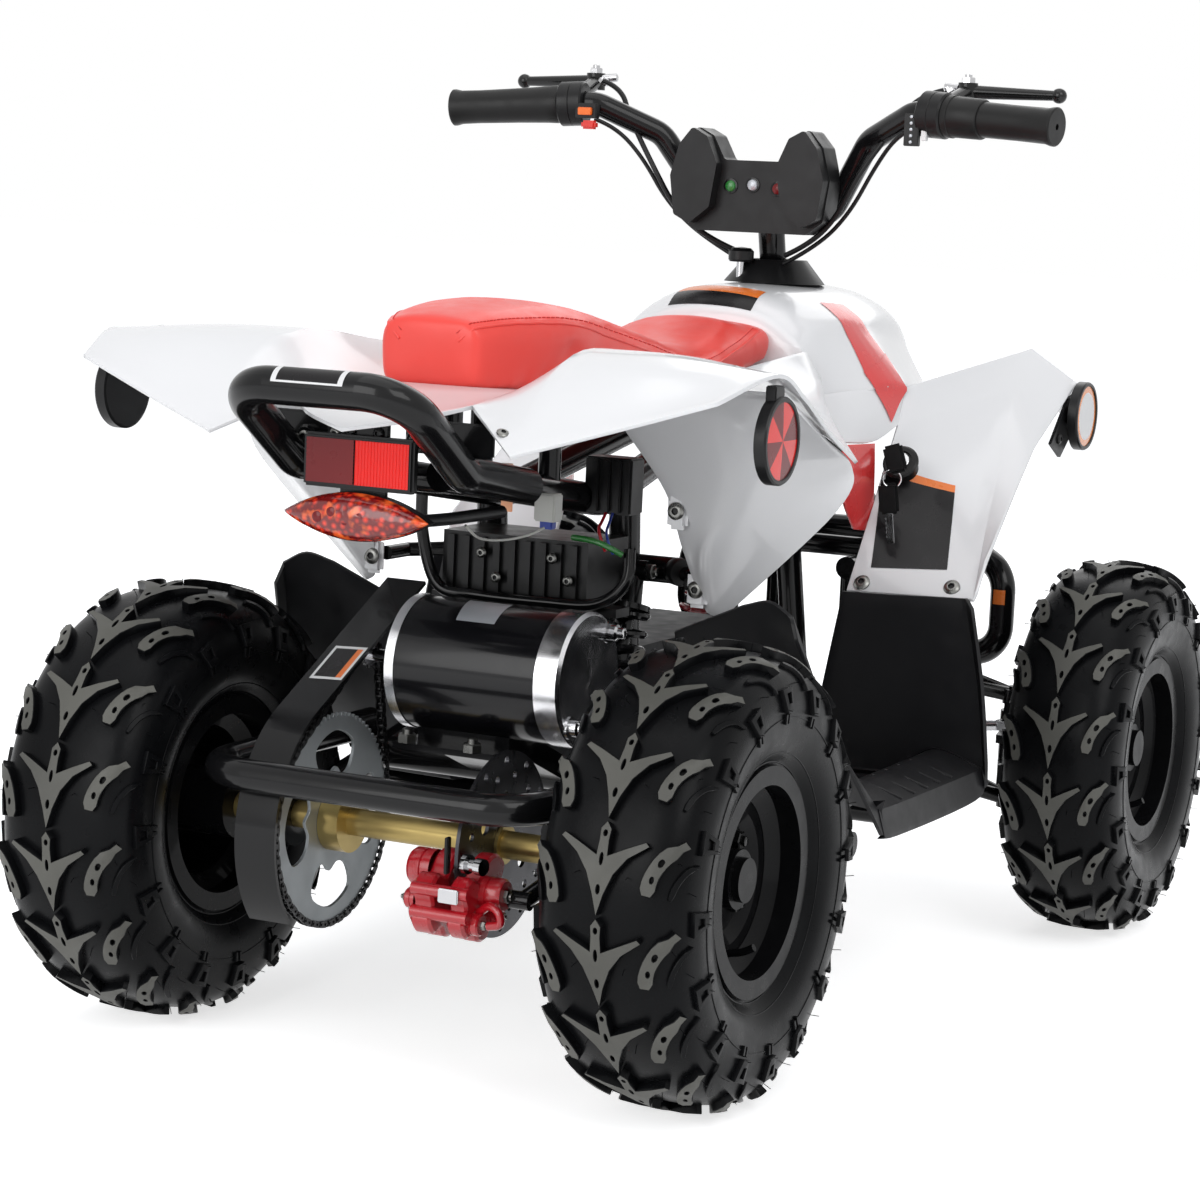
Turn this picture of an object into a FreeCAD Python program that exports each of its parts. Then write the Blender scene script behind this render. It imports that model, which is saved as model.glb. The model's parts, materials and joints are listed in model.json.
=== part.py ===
import FreeCAD, Part
import math
import os
from FreeCAD import Vector

# Child's electric quad bike, rebuilt as separate parts.
# Millimetres. +X is the rider's left, the front faces -Y, +Z is up, the ground is z = 0.
# Everything is drawn about the rear axle (y = 0) and moved at the end, so that
# the origin lies on the ground, midway between the foremost and rearmost points.

# Wheels and axles
wheelbase = 765.0
rear_track = 471.0
front_track = 628.0
tyre_radius = 177.5
rear_tyre_width = 125.0
front_tyre_width = 112.0
lug_height = 7.0
rear_lug_pitches = 16
front_lug_pitches = 16
rim_seat_radius = 76.2
rim_flange_radius = 87.6
rear_rim_width = 101.0
front_rim_width = 88.0
rim_sheet = 3.0
tyre_to_guard = 31.0
axle_radius = 11.0
front_spindle_radius = 8.0
hub_radius = 27.0
fit_gap = 0.3
run_gap = 0.05

# Drive
sprocket_teeth = 84
chain_pitch = 6.35
sprocket_sheet = 2.8
chain_plate = 1.6
chain_height = 5.6
pinion_teeth = 11
motor_y = -52.0
motor_rise = 126.5
motor_radius = 53.0
motor_left_x = 44.0
motor_right_x = -110.0
motor_left_band = 8.0
motor_right_band = 22.0
disc_radius = 73.0
disc_sheet = 3.0

# Steering
kingpin_offset = 92.0
kingpin_radius = 8.0
kingpin_drop = 69.5
kingpin_rise = 44.5
steer_arm = 78.0
steer_arm_rise = 11.5
column_rake = 15.0
column_setback = 155.0
column_top_z = 690.0
column_radius = 12.5
bar_radius = 11.0
grip_radius = 17.0
tie_rod_x = 18.0
tie_rod_radius = 5.0

# Tubes and sheet
guard_tube = 12.5
grab_tube = 14.0
bumper_tube = 12.5
rail_tube = 13.0
panel_wall = 3.0
tray_wall = 3.0
tray_inner_x = 120.0
tray_floor_z = 163.0
grab_back_y = 187.0

rear_reach = grab_back_y + grab_tube
front_reach = wheelbase + tyre_radius
shift_y = (front_reach - rear_reach) / 2.0
front_y = -wheelbase
axle_z = tyre_radius

motor_z = axle_z + motor_rise
guard_x = rear_track / 2.0 - rear_tyre_width / 2.0 - tyre_to_guard
swing_x = guard_x - 14.0
sprocket_x = swing_x - 40.0
disc_x = 62.0 - swing_x
kingpin_x = front_track / 2.0 - kingpin_offset
kingpin_low = axle_z - kingpin_drop
kingpin_high = axle_z + kingpin_rise
steer_arm_z = axle_z + steer_arm_rise
column_top_y = front_y + column_setback

parts = {}


def put(name, *solids):
    """Store one node: one solid, or like solids that don't touch."""
    parts[name] = solids[0] if len(solids) == 1 else Part.makeCompound(list(solids))


def both_sides(shape):
    return shape, mirrored(shape)


def vec(x, y, z):
    return Vector(x, y, z)


def mirrored(shape):
    """The same piece on the other side of the X = 0 plane."""
    return shape.mirror(vec(0, 0, 0), vec(1, 0, 0))


def box(low, high):
    size = [b - a for a, b in zip(low, high)]
    return Part.makeBox(size[0], size[1], size[2], vec(*low))


def rod(start, end, radius):
    """A round bar from start to end."""
    start = vec(*start)
    axis = vec(*end) - start
    return Part.makeCylinder(radius, axis.Length, start, axis)


def pipe(start, end, outer, inner):
    return rod(start, end, outer).cut(rod(start, end, inner))


def joined(shapes):
    """One solid out of several that overlap."""
    whole = shapes[0]
    if len(shapes) > 1:
        whole = shapes[0].multiFuse(shapes[1:])
    return whole.removeSplitter()


def polygon(points):
    pts = [vec(*p) for p in points]
    return Part.Wire(Part.makePolygon(pts + [pts[0]]))


def prism(points, along):
    """A flat outline pushed along a vector."""
    return Part.Face(polygon(points)).extrude(vec(*along))


def rounded(points, radius, along):
    """A flat outline with rounded corners pushed along a vector."""
    pts = [vec(*p) for p in points]
    start = (pts[0] + pts[-1]) * 0.5
    path = bent_path([tuple(start)] + list(points) + [tuple(start)], radius)
    return Part.Face(Part.Wire(path.Edges)).extrude(vec(*along))


def bent_path(points, radius):
    """Straight runs joined by tangent arcs of the given radius."""
    pts = [vec(*p) for p in points]
    edges = []
    start = pts[0]
    for i in range(1, len(pts) - 1):
        corner = pts[i]
        before = (pts[i - 1] - corner).normalize()
        after = (pts[i + 1] - corner).normalize()
        half = before.getAngle(after) / 2.0
        reach = radius / math.tan(half)
        arc_start = corner + before * reach
        arc_end = corner + after * reach
        middle = (before + after).normalize()
        centre = corner + middle * (radius / math.sin(half))
        arc_mid = centre - middle * radius
        edges.append(Part.makeLine(start, arc_start))
        edges.append(Part.Arc(arc_start, arc_mid, arc_end).toShape())
        start = arc_end
    edges.append(Part.makeLine(start, pts[-1]))
    return Part.Wire(edges)


def bent_tube(points, tube_radius, bend_radius):
    """A round tube, solid inside, along a bent path."""
    path = bent_path(points, bend_radius)
    first = vec(*points[0])
    along = vec(*points[1]) - first
    ring = Part.Wire(Part.makeCircle(tube_radius, first, along))
    return path.makePipeShell([ring], True, False)


def facets(rows, wall):
    """A creased sheet through rows of points, thickened by the wall vector."""
    push = vec(*wall)
    cells = []
    for low, high in zip(rows, rows[1:]):
        for i in range(len(low) - 1):
            a, b = vec(*low[i]), vec(*low[i + 1])
            c, d = vec(*high[i + 1]), vec(*high[i])
            for corners in ((a, b, c), (a, c, d)):
                face = Part.Face(Part.makePolygon(list(corners) + [corners[0]]))
                cells.append(face.extrude(push))
    return joined(cells)


def revolved(profile, centre):
    """A profile of (x, radius) points turned about the X axis through centre."""
    pts = [vec(x, 0, r) for x, r in profile]
    face = Part.Face(Part.makePolygon(pts + [pts[0]]))
    solid = face.revolve(vec(0, 0, 0), vec(1, 0, 0), 360)
    solid.translate(vec(*centre))
    return solid


def coil(low, high, start, stop, radius, turns):
    """Round coils, one ring to a turn, between two shares of the line from low to high."""
    low, high = vec(*low), vec(*high)
    span = high - low
    wire = radius * 0.2
    step = (stop - start) / turns
    core = Part.makeCylinder(radius - 1.4 * wire, span.Length * (stop - start), low + span * start, span)
    rings = [Part.makeTorus(radius - wire, wire, low + span * (start + step * (i + 0.5)), span)
             for i in range(turns)]
    return joined([core] + rings)


# Wheels

def tyre_profile(width, rim_width, pitches):
    """Corners (x, radius) of one side, from the crown's edge over the sidewall down to the bead."""
    half = width / 2.0
    crown = tyre_radius - lug_height
    wall = crown - rim_flange_radius
    seat = rim_width / 2.0 - rim_sheet - fit_gap
    flat = 1.0 / math.cos(math.pi / pitches)
    return [(half * 0.5, crown), (half - 5, crown - wall * 0.16), (half, crown - wall * 0.52),
            (seat, (rim_flange_radius + fit_gap) * flat), (seat, (rim_seat_radius + fit_gap) * flat)]


def block_faces(outline, origin, across, up, height):
    """Top and sides of a tread block whose outline (across, along) lies on a flat of the tyre."""
    def at(point, rise):
        return origin + across * point[0] + vec(0, point[1], 0) + up * rise
    low = [at(p, 0) for p in outline]
    high = [at(p, height) for p in outline]
    faces = [Part.Face(Part.makePolygon(high + [high[0]]))]
    for i in range(len(outline)):
        k = (i + 1) % len(outline)
        faces.append(Part.Face(Part.makePolygon([low[i], low[k], high[k], high[i], low[i]])))
    return Part.makePolygon(low + [low[0]]), faces


def tyre(width, rim_width, pitches):
    """One flat of carcass to each pitch of the tread, with an arrow lug and two side lugs standing on it."""
    side = tyre_profile(width, rim_width, pitches)
    ring = [(-x, r) for x, r in reversed(side)] + side
    half_turn = math.pi / pitches
    long = math.sin(half_turn) * (tyre_radius - lug_height) * 0.94
    crown_half = side[0][0]
    arrow = [(0, long), (crown_half * 0.24, -long * 0.12), (crown_half * 0.94, -long * 0.72),
             (crown_half * 0.12, -long * 0.42), (0, -long), (-crown_half * 0.12, -long * 0.42),
             (-crown_half * 0.94, -long * 0.72), (-crown_half * 0.24, -long * 0.12)]
    faces = []
    for i in range(len(ring)):
        x1, r1 = ring[i]
        x2, r2 = ring[(i + 1) % len(ring)]
        corners = [vec(x, r * math.sin(turn), r * math.cos(turn))
                   for x, r, turn in ((x1, r1, -half_turn), (x1, r1, half_turn), (x2, r2, half_turn),
                                      (x2, r2, -half_turn))]
        edge = Part.makePolygon(corners + [corners[0]])
        near = vec(x1, 0, r1 * math.cos(half_turn))
        far = vec(x2, 0, r2 * math.cos(half_turn))
        across = (far - near).normalize()
        up = vec(-across.z, 0, across.x)
        span = (far - near).Length
        if (x1, r1) == (-side[0][0], side[0][1]):
            top = math.sqrt(tyre_radius ** 2 - long ** 2) - near.z
            hole, blocks = block_faces(arrow, (near + far) * 0.5, across, up, top)
        elif (x1, r1) == side[0] or (x2, r2) == (-side[0][0], side[0][1]):
            lean = 1 if x1 > 0 else -1
            patch = [(-span * 0.36, lean * long * 0.10), (span * 0.40, -lean * long * 0.35),
                     (span * 0.40, -lean * long * 0.05 + long * 0.5), (-span * 0.30, long * 0.85)]
            hole, blocks = block_faces(patch, (near + far) * 0.5, across, up, lug_height)
        else:
            faces.append(Part.Face(edge))
            continue
        faces.append(Part.makeFace([edge, hole], "Part::FaceMakerBullseye"))
        faces += blocks
    sheets = []
    for i in range(pitches):
        for face in faces:
            turned = face.copy()
            turned.rotate(vec(0, 0, 0), vec(1, 0, 0), (i + 0.5) * 360.0 / pitches)
            sheets.append(turned)
    shell = Part.makeShell(sheets)
    shell.sewShape()
    solid = Part.makeSolid(Part.Shell(shell.Faces))
    if solid.Volume < 0:
        solid.reverse()
    return solid


def rim(width, disc_offset):
    """A pressed steel rim: curled flanges, bead seats, drop centre and a dished wheel disc."""
    half = width / 2.0
    seat = rim_seat_radius
    well = seat - 12.0
    sheet = rim_sheet
    outer = [(half, rim_flange_radius), (half - sheet, rim_flange_radius), (half - sheet, seat),
             (half - 18, seat), (half - 26, well), (-half + 26, well), (-half + 18, seat),
             (-half + sheet, seat), (-half + sheet, rim_flange_radius), (-half, rim_flange_radius)]
    inner = [(-half, seat - sheet), (-half + 17, seat - sheet), (-half + 25, well - sheet),
             (half - 25, well - sheet), (half - 17, seat - sheet), (half, seat - sheet)]
    barrel = revolved(outer + inner, (0, 0, 0))
    face = disc_offset
    dish = [(face, axle_radius + 12), (face, 44), (face + 8, 52), (face + 8, well - sheet + 1),
            (face + 5, well - sheet + 1), (face + 5, 53), (face - 3, 45), (face - 3, axle_radius + 12)]
    disc = revolved(dish, (0, 0, 0))
    return joined([barrel, disc])


def hub(inner_x, face_x, cap_x, bore):
    """A flanged hub with a domed cap, along +X from inner_x to cap_x."""
    sleeve = rod((inner_x, 0, 0), (face_x - 3 - fit_gap, 0, 0), hub_radius)
    flange = rod((face_x - 9, 0, 0), (face_x - 3 - fit_gap, 0, 0), 40)
    nose = rod((face_x - 10, 0, 0), (cap_x - 6, 0, 0), axle_radius + 12 - fit_gap)
    cap = rod((cap_x - 7, 0, 0), (cap_x, 0, 0), axle_radius + 6)
    solid = joined([sleeve, flange, nose, cap])
    if bore > 0:
        solid = solid.cut(rod((inner_x - 1, 0, 0), (cap_x - 12, 0, 0), bore))
    return solid


def wheel(centre, width, rim_width, pitches, hub_inner, bore):
    """Tyre, rim and hub of the left wheel of an axle."""
    face = rim_width / 2.0 - 34
    cap = rim_width / 2.0 - 12
    solids = [tyre(width, rim_width, pitches), rim(rim_width, face), hub(hub_inner, face, cap, bore)]
    for solid in solids:
        solid.translate(vec(*centre))
    return solids


for name, centre, width, rim_width, pitches, hub_inner, bore in (
        ("rear", (rear_track / 2.0, 0, axle_z), rear_tyre_width, rear_rim_width, rear_lug_pitches, -62.0,
         axle_radius + run_gap),
        ("front", (front_track / 2.0, front_y, axle_z), front_tyre_width, front_rim_width, front_lug_pitches,
         -58.0, front_spindle_radius + run_gap)):
    left_tyre, left_rim, left_hub = wheel(centre, width, rim_width, pitches, hub_inner, bore)
    for tag, turn in (("left", Part.Shape.copy), ("right", mirrored)):
        put(f"{name}_tyre_{tag}", turn(left_tyre))
        put(f"{name}_rim_{tag}", turn(left_rim))
        put(f"{name}_hub_{tag}", turn(left_hub))

# Rear axle with its sprocket and brake disc

pitch_radius = chain_pitch / (2 * math.sin(math.pi / sprocket_teeth))
pinion_radius = chain_pitch / (2 * math.sin(math.pi / pinion_teeth))
shaft_end = rear_track / 2.0 + rear_rim_width / 2.0 - 26.0
carrier_radius = 25.0


def toothed_outline(teeth, root, tip, x):
    """Saw-toothed ring of points in the plane x, tooth gaps at whole pitches from the bottom."""
    points = []
    for i in range(2 * teeth):
        angle = math.pi * i / teeth - math.pi / 2
        radius = root if i % 2 == 0 else tip
        points.append((x, radius * math.cos(angle), radius * math.sin(angle)))
    return points


def at_axle(solid):
    solid.translate(vec(0, 0, axle_z))
    return solid


sprocket_left = sprocket_x + sprocket_sheet / 2.0
sprocket_right = sprocket_x - sprocket_sheet / 2.0
tooth_root = pitch_radius - 2.7
tooth_tip = pitch_radius + 0.6
sprocket_teeth_line = toothed_outline(sprocket_teeth, tooth_root, tooth_tip, sprocket_right)
sprocket = prism(sprocket_teeth_line, (sprocket_sheet, 0, 0))
sprocket = sprocket.cut(rod((sprocket_right - 1, 0, 0), (sprocket_left + 1, 0, 0), 16))
for quarter in range(4):
    centre = math.radians(90 * quarter)
    spread = math.radians(26)
    window = [(sprocket_right - 1, r * math.cos(centre + s * spread), r * math.sin(centre + s * spread))
              for r, s in ((66, 1), (73, 0), (66, -1), (38, -0.75), (38, 0.75))]
    sprocket = sprocket.cut(rounded(window, 4.5, (sprocket_sheet + 2, 0, 0)))
put("rear_sprocket", at_axle(sprocket))

shaft = rod((-shaft_end, 0, 0), (shaft_end, 0, 0), axle_radius)
carrier = rod((sprocket_right - fit_gap - 18, 0, 0), (sprocket_right - fit_gap, 0, 0), carrier_radius)
spigot = rod((sprocket_right - 2, 0, 0), (sprocket_left + 3, 0, 0), 16 - fit_gap)
disc_flange = rod((disc_x + disc_sheet / 2.0 + fit_gap, 0, 0), (disc_x + 20, 0, 0), carrier_radius)
disc_spigot = rod((disc_x - 4, 0, 0), (disc_x + 4, 0, 0), 16 - fit_gap)
put("rear_axle_shaft", at_axle(joined([shaft, carrier, spigot, disc_flange, disc_spigot])))

disc = rod((disc_x - disc_sheet / 2.0, 0, 0), (disc_x + disc_sheet / 2.0, 0, 0), disc_radius)
disc = disc.cut(rod((disc_x - 3, 0, 0), (disc_x + 3, 0, 0), 16))
for row, (radius, hole) in enumerate(((66, 3.5), (54, 3.5), (36, 6.0))):
    for i in range(12 if row < 2 else 6):
        angle = math.radians(i * (30 if row < 2 else 60) + row * 15)
        y, z = radius * math.cos(angle), radius * math.sin(angle)
        disc = disc.cut(rod((disc_x - 3, y, z), (disc_x + 3, y, z), hole))
put("brake_disc", at_axle(disc))

# Chain and motor

chain_dy = motor_y
chain_dz = motor_z - axle_z
chain_span = math.hypot(chain_dy, chain_dz)


def loop_face(reach):
    """A belt outline round the two sprockets at a distance from the pitch line, in the plane x = 0."""
    big = pitch_radius + reach
    small = pinion_radius + reach
    base = math.atan2(chain_dz, chain_dy)
    lean = math.acos((big - small) / chain_span)
    points = []
    for i in range(20):
        angle = base + lean + (2 * math.pi - 2 * lean) * i / 19.0
        points.append((0, big * math.cos(angle), axle_z + big * math.sin(angle)))
    for i in range(6):
        angle = base - lean + 2 * lean * i / 5.0
        points.append((0, motor_y + small * math.cos(angle), motor_z + small * math.sin(angle)))
    return Part.Face(polygon(points))


def chain_band(x_low, x_high):
    ring = loop_face(chain_height / 2.0).cut(loop_face(-chain_height / 2.0))
    band = ring.extrude(vec(x_high - x_low, 0, 0))
    band.translate(vec(x_low, 0, 0))
    return band


chain_gap = sprocket_sheet / 2.0 + 0.4
bands = [chain_band(sprocket_x + chain_gap, sprocket_x + chain_gap + chain_plate),
         chain_band(sprocket_x - chain_gap - chain_plate, sprocket_x - chain_gap)]
put("drive_chain", Part.makeCompound(bands))

can_right = motor_right_x + motor_right_band
can_left = motor_left_x - motor_left_band
put("motor_can", rod((can_right, motor_y, motor_z), (can_left, motor_y, motor_z), motor_radius))
end_left = rod((can_left, motor_y, motor_z), (motor_left_x, motor_y, motor_z), motor_radius + 0.8)
motor_shaft = rod((motor_left_x - 1, motor_y, motor_z), (sprocket_x + 6, motor_y, motor_z), 5)
pinion = prism(toothed_outline(pinion_teeth, pinion_radius - 2.2, pinion_radius + 0.8,
                               sprocket_x - sprocket_sheet / 2.0), (sprocket_sheet, 0, 0))
pinion.translate(vec(0, motor_y, motor_z))
right_profile = [(can_right, 0), (can_right, motor_radius + 0.8), (motor_right_x + 3, motor_radius + 0.8),
                 (motor_right_x + 0.5, motor_radius - 2), (motor_right_x, 10), (motor_right_x, 0)]
end_right = revolved(right_profile, (0, motor_y, motor_z))
put("motor_end_caps", joined([end_left, motor_shaft, pinion]), end_right)

# Frame

arm_inner_x = 82.0
upper_arm_inner_z = 240.0
shock_top_x = 100.0

pivot_y = -190.0
pivot_z = axle_z + 37.5
bearing_radius = 26.0

arms = []
for side in (1, -1):
    x = swing_x * side
    ring = pipe((x - 9, 0, axle_z), (x + 9, 0, axle_z), bearing_radius, axle_radius + run_gap)
    arm = rod((x, pivot_y, pivot_z), (x, -bearing_radius + 3, axle_z + 4), rail_tube)
    arms.append(joined([ring, arm.cut(rod((x - 30, 0, axle_z), (x + 30, 0, axle_z), bearing_radius - 4))]))
cross = rod((-swing_x, pivot_y + 40, pivot_z - 9), (swing_x, pivot_y + 40, pivot_z - 9), rail_tube)
motor_floor = motor_z - motor_radius - 6
plate_x = disc_x + 14
plate = box((plate_x, motor_y - 46, motor_floor - 5), (motor_left_x - 6, motor_y + 46, motor_floor))
cradle = box((plate_x, motor_y - 20, motor_floor - 1), (motor_left_x - 14, motor_y + 20, motor_z - 45))
cradle = cradle.cut(rod((-200, motor_y, motor_z), (200, motor_y, motor_z), motor_radius + fit_gap))
plate_leg = prism([(plate_x, motor_y - 40, motor_floor - 3), (plate_x, pivot_y + 34, pivot_z),
                   (plate_x, pivot_y + 52, pivot_z - 12), (plate_x, motor_y + 10, motor_floor - 3)],
                  (90, 0, 0))
caliper_z = axle_z - 27.5
caliper_face = disc_x - 22.0
caliper_arm = rod((-swing_x + 4, 19, axle_z - 15), (-swing_x + 12, 56, caliper_z), 7)
caliper_stub = rod((-swing_x + 6, 56, caliper_z), (caliper_face - fit_gap, 56, caliper_z), 7)
put("swing_arm", joined(arms + [cross, plate, cradle, plate_leg, caliper_arm, caliper_stub]))

rail_x = 62.0
top_rail_x = 45.0
rail_z = 150.0
rail_front_y = front_y - 115.0
front_post_radius = 8.0
front_post_spread = 55.0
front_cross_z = 330.0
shock_bar_y = -216.0
shock_bar_z = 375.0
shock_x = 32.0 - swing_x
panel_tab_y = -163.0
rake = math.radians(column_rake)
column_axis = vec(0, math.sin(rake), math.cos(rake))
column_top = vec(0, column_top_y, column_top_z)


def on_column(distance):
    """A point on the steering axis, distance below the top."""
    return column_top - column_axis * distance


head_high = on_column(150)
head_low = on_column(225)
head_radius = 21.0
rails = [rod(tuple(head_low), tuple(head_high), head_radius)]
for side in (1, -1):
    x = rail_x * side
    neck = 14 * side
    lower = bent_tube([(x, pivot_y - 10, 430), (x, pivot_y - 34, rail_z), (x, rail_front_y, rail_z),
                       (x, rail_front_y + 30, front_cross_z), (neck, head_low.y, head_low.z + 18)],
                      rail_tube, 40)
    top_x = top_rail_x * side
    upper = bent_tube([(top_x, 80, 468), (top_x, pivot_y, 430), (neck, head_high.y, head_high.z - 18)],
                      rail_tube, 60)
    tab_x = 141 * side
    tab_z = shock_bar_z - 3
    rails += [lower, upper, rod((top_x, -95, 440), (top_x, -95, 521.2), 9),
              rod((top_x, 20, 455), (top_x, 20, 526.6), 9),
              rod((104 * side, shock_bar_y + 2, shock_bar_z), (tab_x, -198, tab_z), 6),
              rod((tab_x, -201, tab_z), (tab_x, panel_tab_y - fit_gap, tab_z), 6)]
    for dy in (front_post_spread, -front_post_spread):
        rails.append(rod((x, front_y + dy, rail_z), (x, front_y + dy, front_cross_z), front_post_radius))
        for z in (rail_z, upper_arm_inner_z):
            rails.append(rod((x, front_y + dy, z), (arm_inner_x * side - fit_gap * side, front_y + dy, z), 9))
    rails.append(rod((x, front_y + front_post_spread + 8, front_cross_z),
                     (x, rail_front_y + 30, front_cross_z), rail_tube - 2))
shock_bridge_z = front_cross_z + 14
shock_bridge_half = shock_top_x + 8
rails.append(rod((-shock_bridge_half, front_y, shock_bridge_z),
                 (shock_bridge_half, front_y, shock_bridge_z), 10))
cross_tube = rail_tube - 2
peg_z = tray_floor_z - tray_wall - fit_gap - cross_tube
for y, z, half in ((-300, peg_z, 240), (-450, peg_z, 240), (rail_front_y + 20, rail_z, rail_x),
                   (20, 458, top_rail_x), (shock_bar_y, shock_bar_z, 12 - shock_x)):
    rails.append(rod((-half, y, z), (half, y, z), cross_tube))
frame = joined(rails).cut(rod(tuple(on_column(100)), tuple(on_column(300)), column_radius + run_gap))
put("main_frame", frame)

guard_z = pivot_z + 13.0
guard_low = guard_z + 1.2
guard = bent_tube([(guard_x, -150, guard_low), (guard_x, 111, guard_z), (-guard_x, 111, guard_z),
                   (-guard_x, -150, guard_low)], guard_tube, 45)
put("rear_guard_tube", guard)

grab_x = top_rail_x + rail_tube + grab_tube + fit_gap
grab_half = [(grab_x, -5, 456), (grab_x, 96, 471), (grab_x, grab_back_y, 533)]
grab_points = grab_half + [(-x, y, z) for x, y, z in reversed(grab_half)]
put("grab_bar", bent_tube(grab_points, grab_tube, 34))

bumper_foot = rail_x + rail_tube + 1.3
bumper_y = rail_front_y + 28.0
bumper_half = [(bumper_foot, bumper_y - 14, 236), (172, bumper_y, 240), (172, bumper_y, 322),
               (110, bumper_y - 32, 350)]
bumper_points = bumper_half + [(-x, y, z) for x, y, z in reversed(bumper_half)]
put("front_bumper", bent_tube(bumper_points, bumper_tube, 30))

# Batteries low in the frame

put("battery_block", box((-48, -500, tray_floor_z - tray_wall), (48, -270, 300)))
controller_face = -189.4
controller = [box((-72, controller_face, 352), (60, -116, 403)), box((-102, -134, 346), (66, -110, 353))]
for i in range(9):
    controller.append(box((-64 + 14 * i, -118, 356), (-58 + 14 * i, -112, 400)))
put("controller_box", joined(controller))

# Front suspension

lower_arm_z = kingpin_low + 4
upper_arm_z = kingpin_high - 8


def wishbone(inner_z, outer_z):
    """Two tubes from the frame to the eye round the left kingpin."""
    eye = rod((kingpin_x, front_y, outer_z - 7), (kingpin_x, front_y, outer_z + 7), 14)
    legs = [rod((arm_inner_x - 10, front_y + dy, inner_z), (kingpin_x, front_y, outer_z), 7)
            for dy in (-front_post_spread, front_post_spread)]
    hole = rod((kingpin_x, front_y, 60), (kingpin_x, front_y, 260), kingpin_radius + run_gap)
    inboard = box((0, front_y - 90, 90), (arm_inner_x, front_y + 90, 290))
    return joined([eye] + legs).cut(hole).cut(inboard)


shock_low_x = kingpin_x - 46.0
seat_share = (kingpin_x - shock_low_x) / (kingpin_x - arm_inner_x)
seat_z = lower_arm_z + (rail_z - lower_arm_z) * seat_share
seat_y = front_post_spread * seat_share
shock_seat = rod((shock_low_x, front_y - seat_y, seat_z), (shock_low_x, front_y + seat_y, seat_z), 7)
left_arms = [joined([wishbone(rail_z, lower_arm_z), shock_seat]), wishbone(upper_arm_inner_z, upper_arm_z)]
put("front_arms", *[solid for arm in left_arms for solid in both_sides(arm)])

pin = rod((kingpin_x, front_y, kingpin_low - 6), (kingpin_x, front_y, kingpin_high + 2), kingpin_radius)
upright = rod((kingpin_x, front_y, lower_arm_z + 14), (kingpin_x, front_y, upper_arm_z - 14), 15)
spindle = rod((kingpin_x, front_y, axle_z), (front_track / 2.0 + 19, front_y, axle_z), front_spindle_radius)
stud_x = kingpin_x + tie_rod_x
stud_y = front_y + steer_arm
steer_bar_low = steer_arm_z - 8
steer_bar = prism([(kingpin_x - 9, front_y, steer_bar_low), (kingpin_x + 9, front_y, steer_bar_low),
                   (stud_x + 8, stud_y + 8, steer_bar_low), (stud_x - 8, stud_y + 8, steer_bar_low)],
                  (0, 0, 8))
stud = rod((stud_x, stud_y, steer_arm_z - 1), (stud_x, stud_y, steer_arm_z + 18), 3)
knuckle = joined([pin, upright, spindle, steer_bar, stud])
put("knuckle_left", knuckle)
put("knuckle_right", mirrored(knuckle))

shock_low = (shock_low_x, front_y, seat_z + 18)
shock_top = (shock_top_x, front_y, front_cross_z)
damper = rod(shock_low, shock_top, 8)
put("front_shocks", *both_sides(joined([damper, coil(shock_low, shock_top, 0.2, 0.85, 16, 9)])))

# Steering gear

column_foot = (column_top_z - steer_arm_z - 12) / math.cos(rake)
foot = on_column(column_foot)
arm_dir = vec(0, math.cos(rake), -math.sin(rake))
column = rod(tuple(on_column(30)), tuple(foot), column_radius)
bar_low_y = column_top_y - 6.0
bar_low_z = column_top_z - 22.0
clamp = box((-26, bar_low_y - 20, bar_low_z - 18), (26, bar_low_y + 20, bar_low_z + 18))
clamp = joined([clamp, column]).cut(rod((-40, bar_low_y, bar_low_z), (40, bar_low_y, bar_low_z),
                                        bar_radius + run_gap))
pitman_end = foot + arm_dir * steer_arm
pitman = rod(tuple(foot), tuple(foot + column_axis * 8), 20)
arm_tip = pitman_end + arm_dir * 9
arm_plate = prism([tuple(foot + vec(-14, 0, 0)), tuple(foot + vec(14, 0, 0)), tuple(arm_tip + vec(26, 0, 0)),
                   tuple(arm_tip + vec(-26, 0, 0))], tuple(column_axis * 8))
studs = [rod(tuple(pitman_end + vec(s * tie_rod_x, 0, 0)),
             tuple(pitman_end + vec(s * tie_rod_x, 0, 0) - column_axis * 16), 3) for s in (1, -1)]
put("steering_column", joined([clamp, pitman, arm_plate] + studs))

for side in (1, -1):
    tag = "left" if side > 0 else "right"
    near = pitman_end + vec(side * tie_rod_x, 0, 0) - column_axis * 9
    far = vec(stud_x * side, stud_y, steer_arm_z + 9)
    along = (far - near).normalize()
    eye_near = Part.makeCylinder(9, 10, near - column_axis * 5, column_axis)
    eye_far = Part.makeCylinder(11, 8, far - vec(0, 0, 4), vec(0, 0, 1))
    bar = rod(tuple(near + along * 4), tuple(far - along * 6), tie_rod_radius)
    solid = joined([eye_near, eye_far, bar])
    solid = solid.cut(Part.makeCylinder(3 + run_gap, 40, near - column_axis * 20, column_axis))
    solid = solid.cut(Part.makeCylinder(6.5, 40, far - vec(0, 0, 20), vec(0, 0, 1)))
    parts[f"tie_rod_{tag}"] = solid

bar_half = [(60, bar_low_y, bar_low_z), (105, bar_low_y + 24, bar_low_z + 70),
            (160, bar_low_y + 56, bar_low_z + 96), (298, bar_low_y + 78, bar_low_z + 87)]
bar_points = [(-x, y, z) for x, y, z in reversed(bar_half)] + bar_half
put("handlebar", bent_tube(bar_points, bar_radius, 28))

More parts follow.
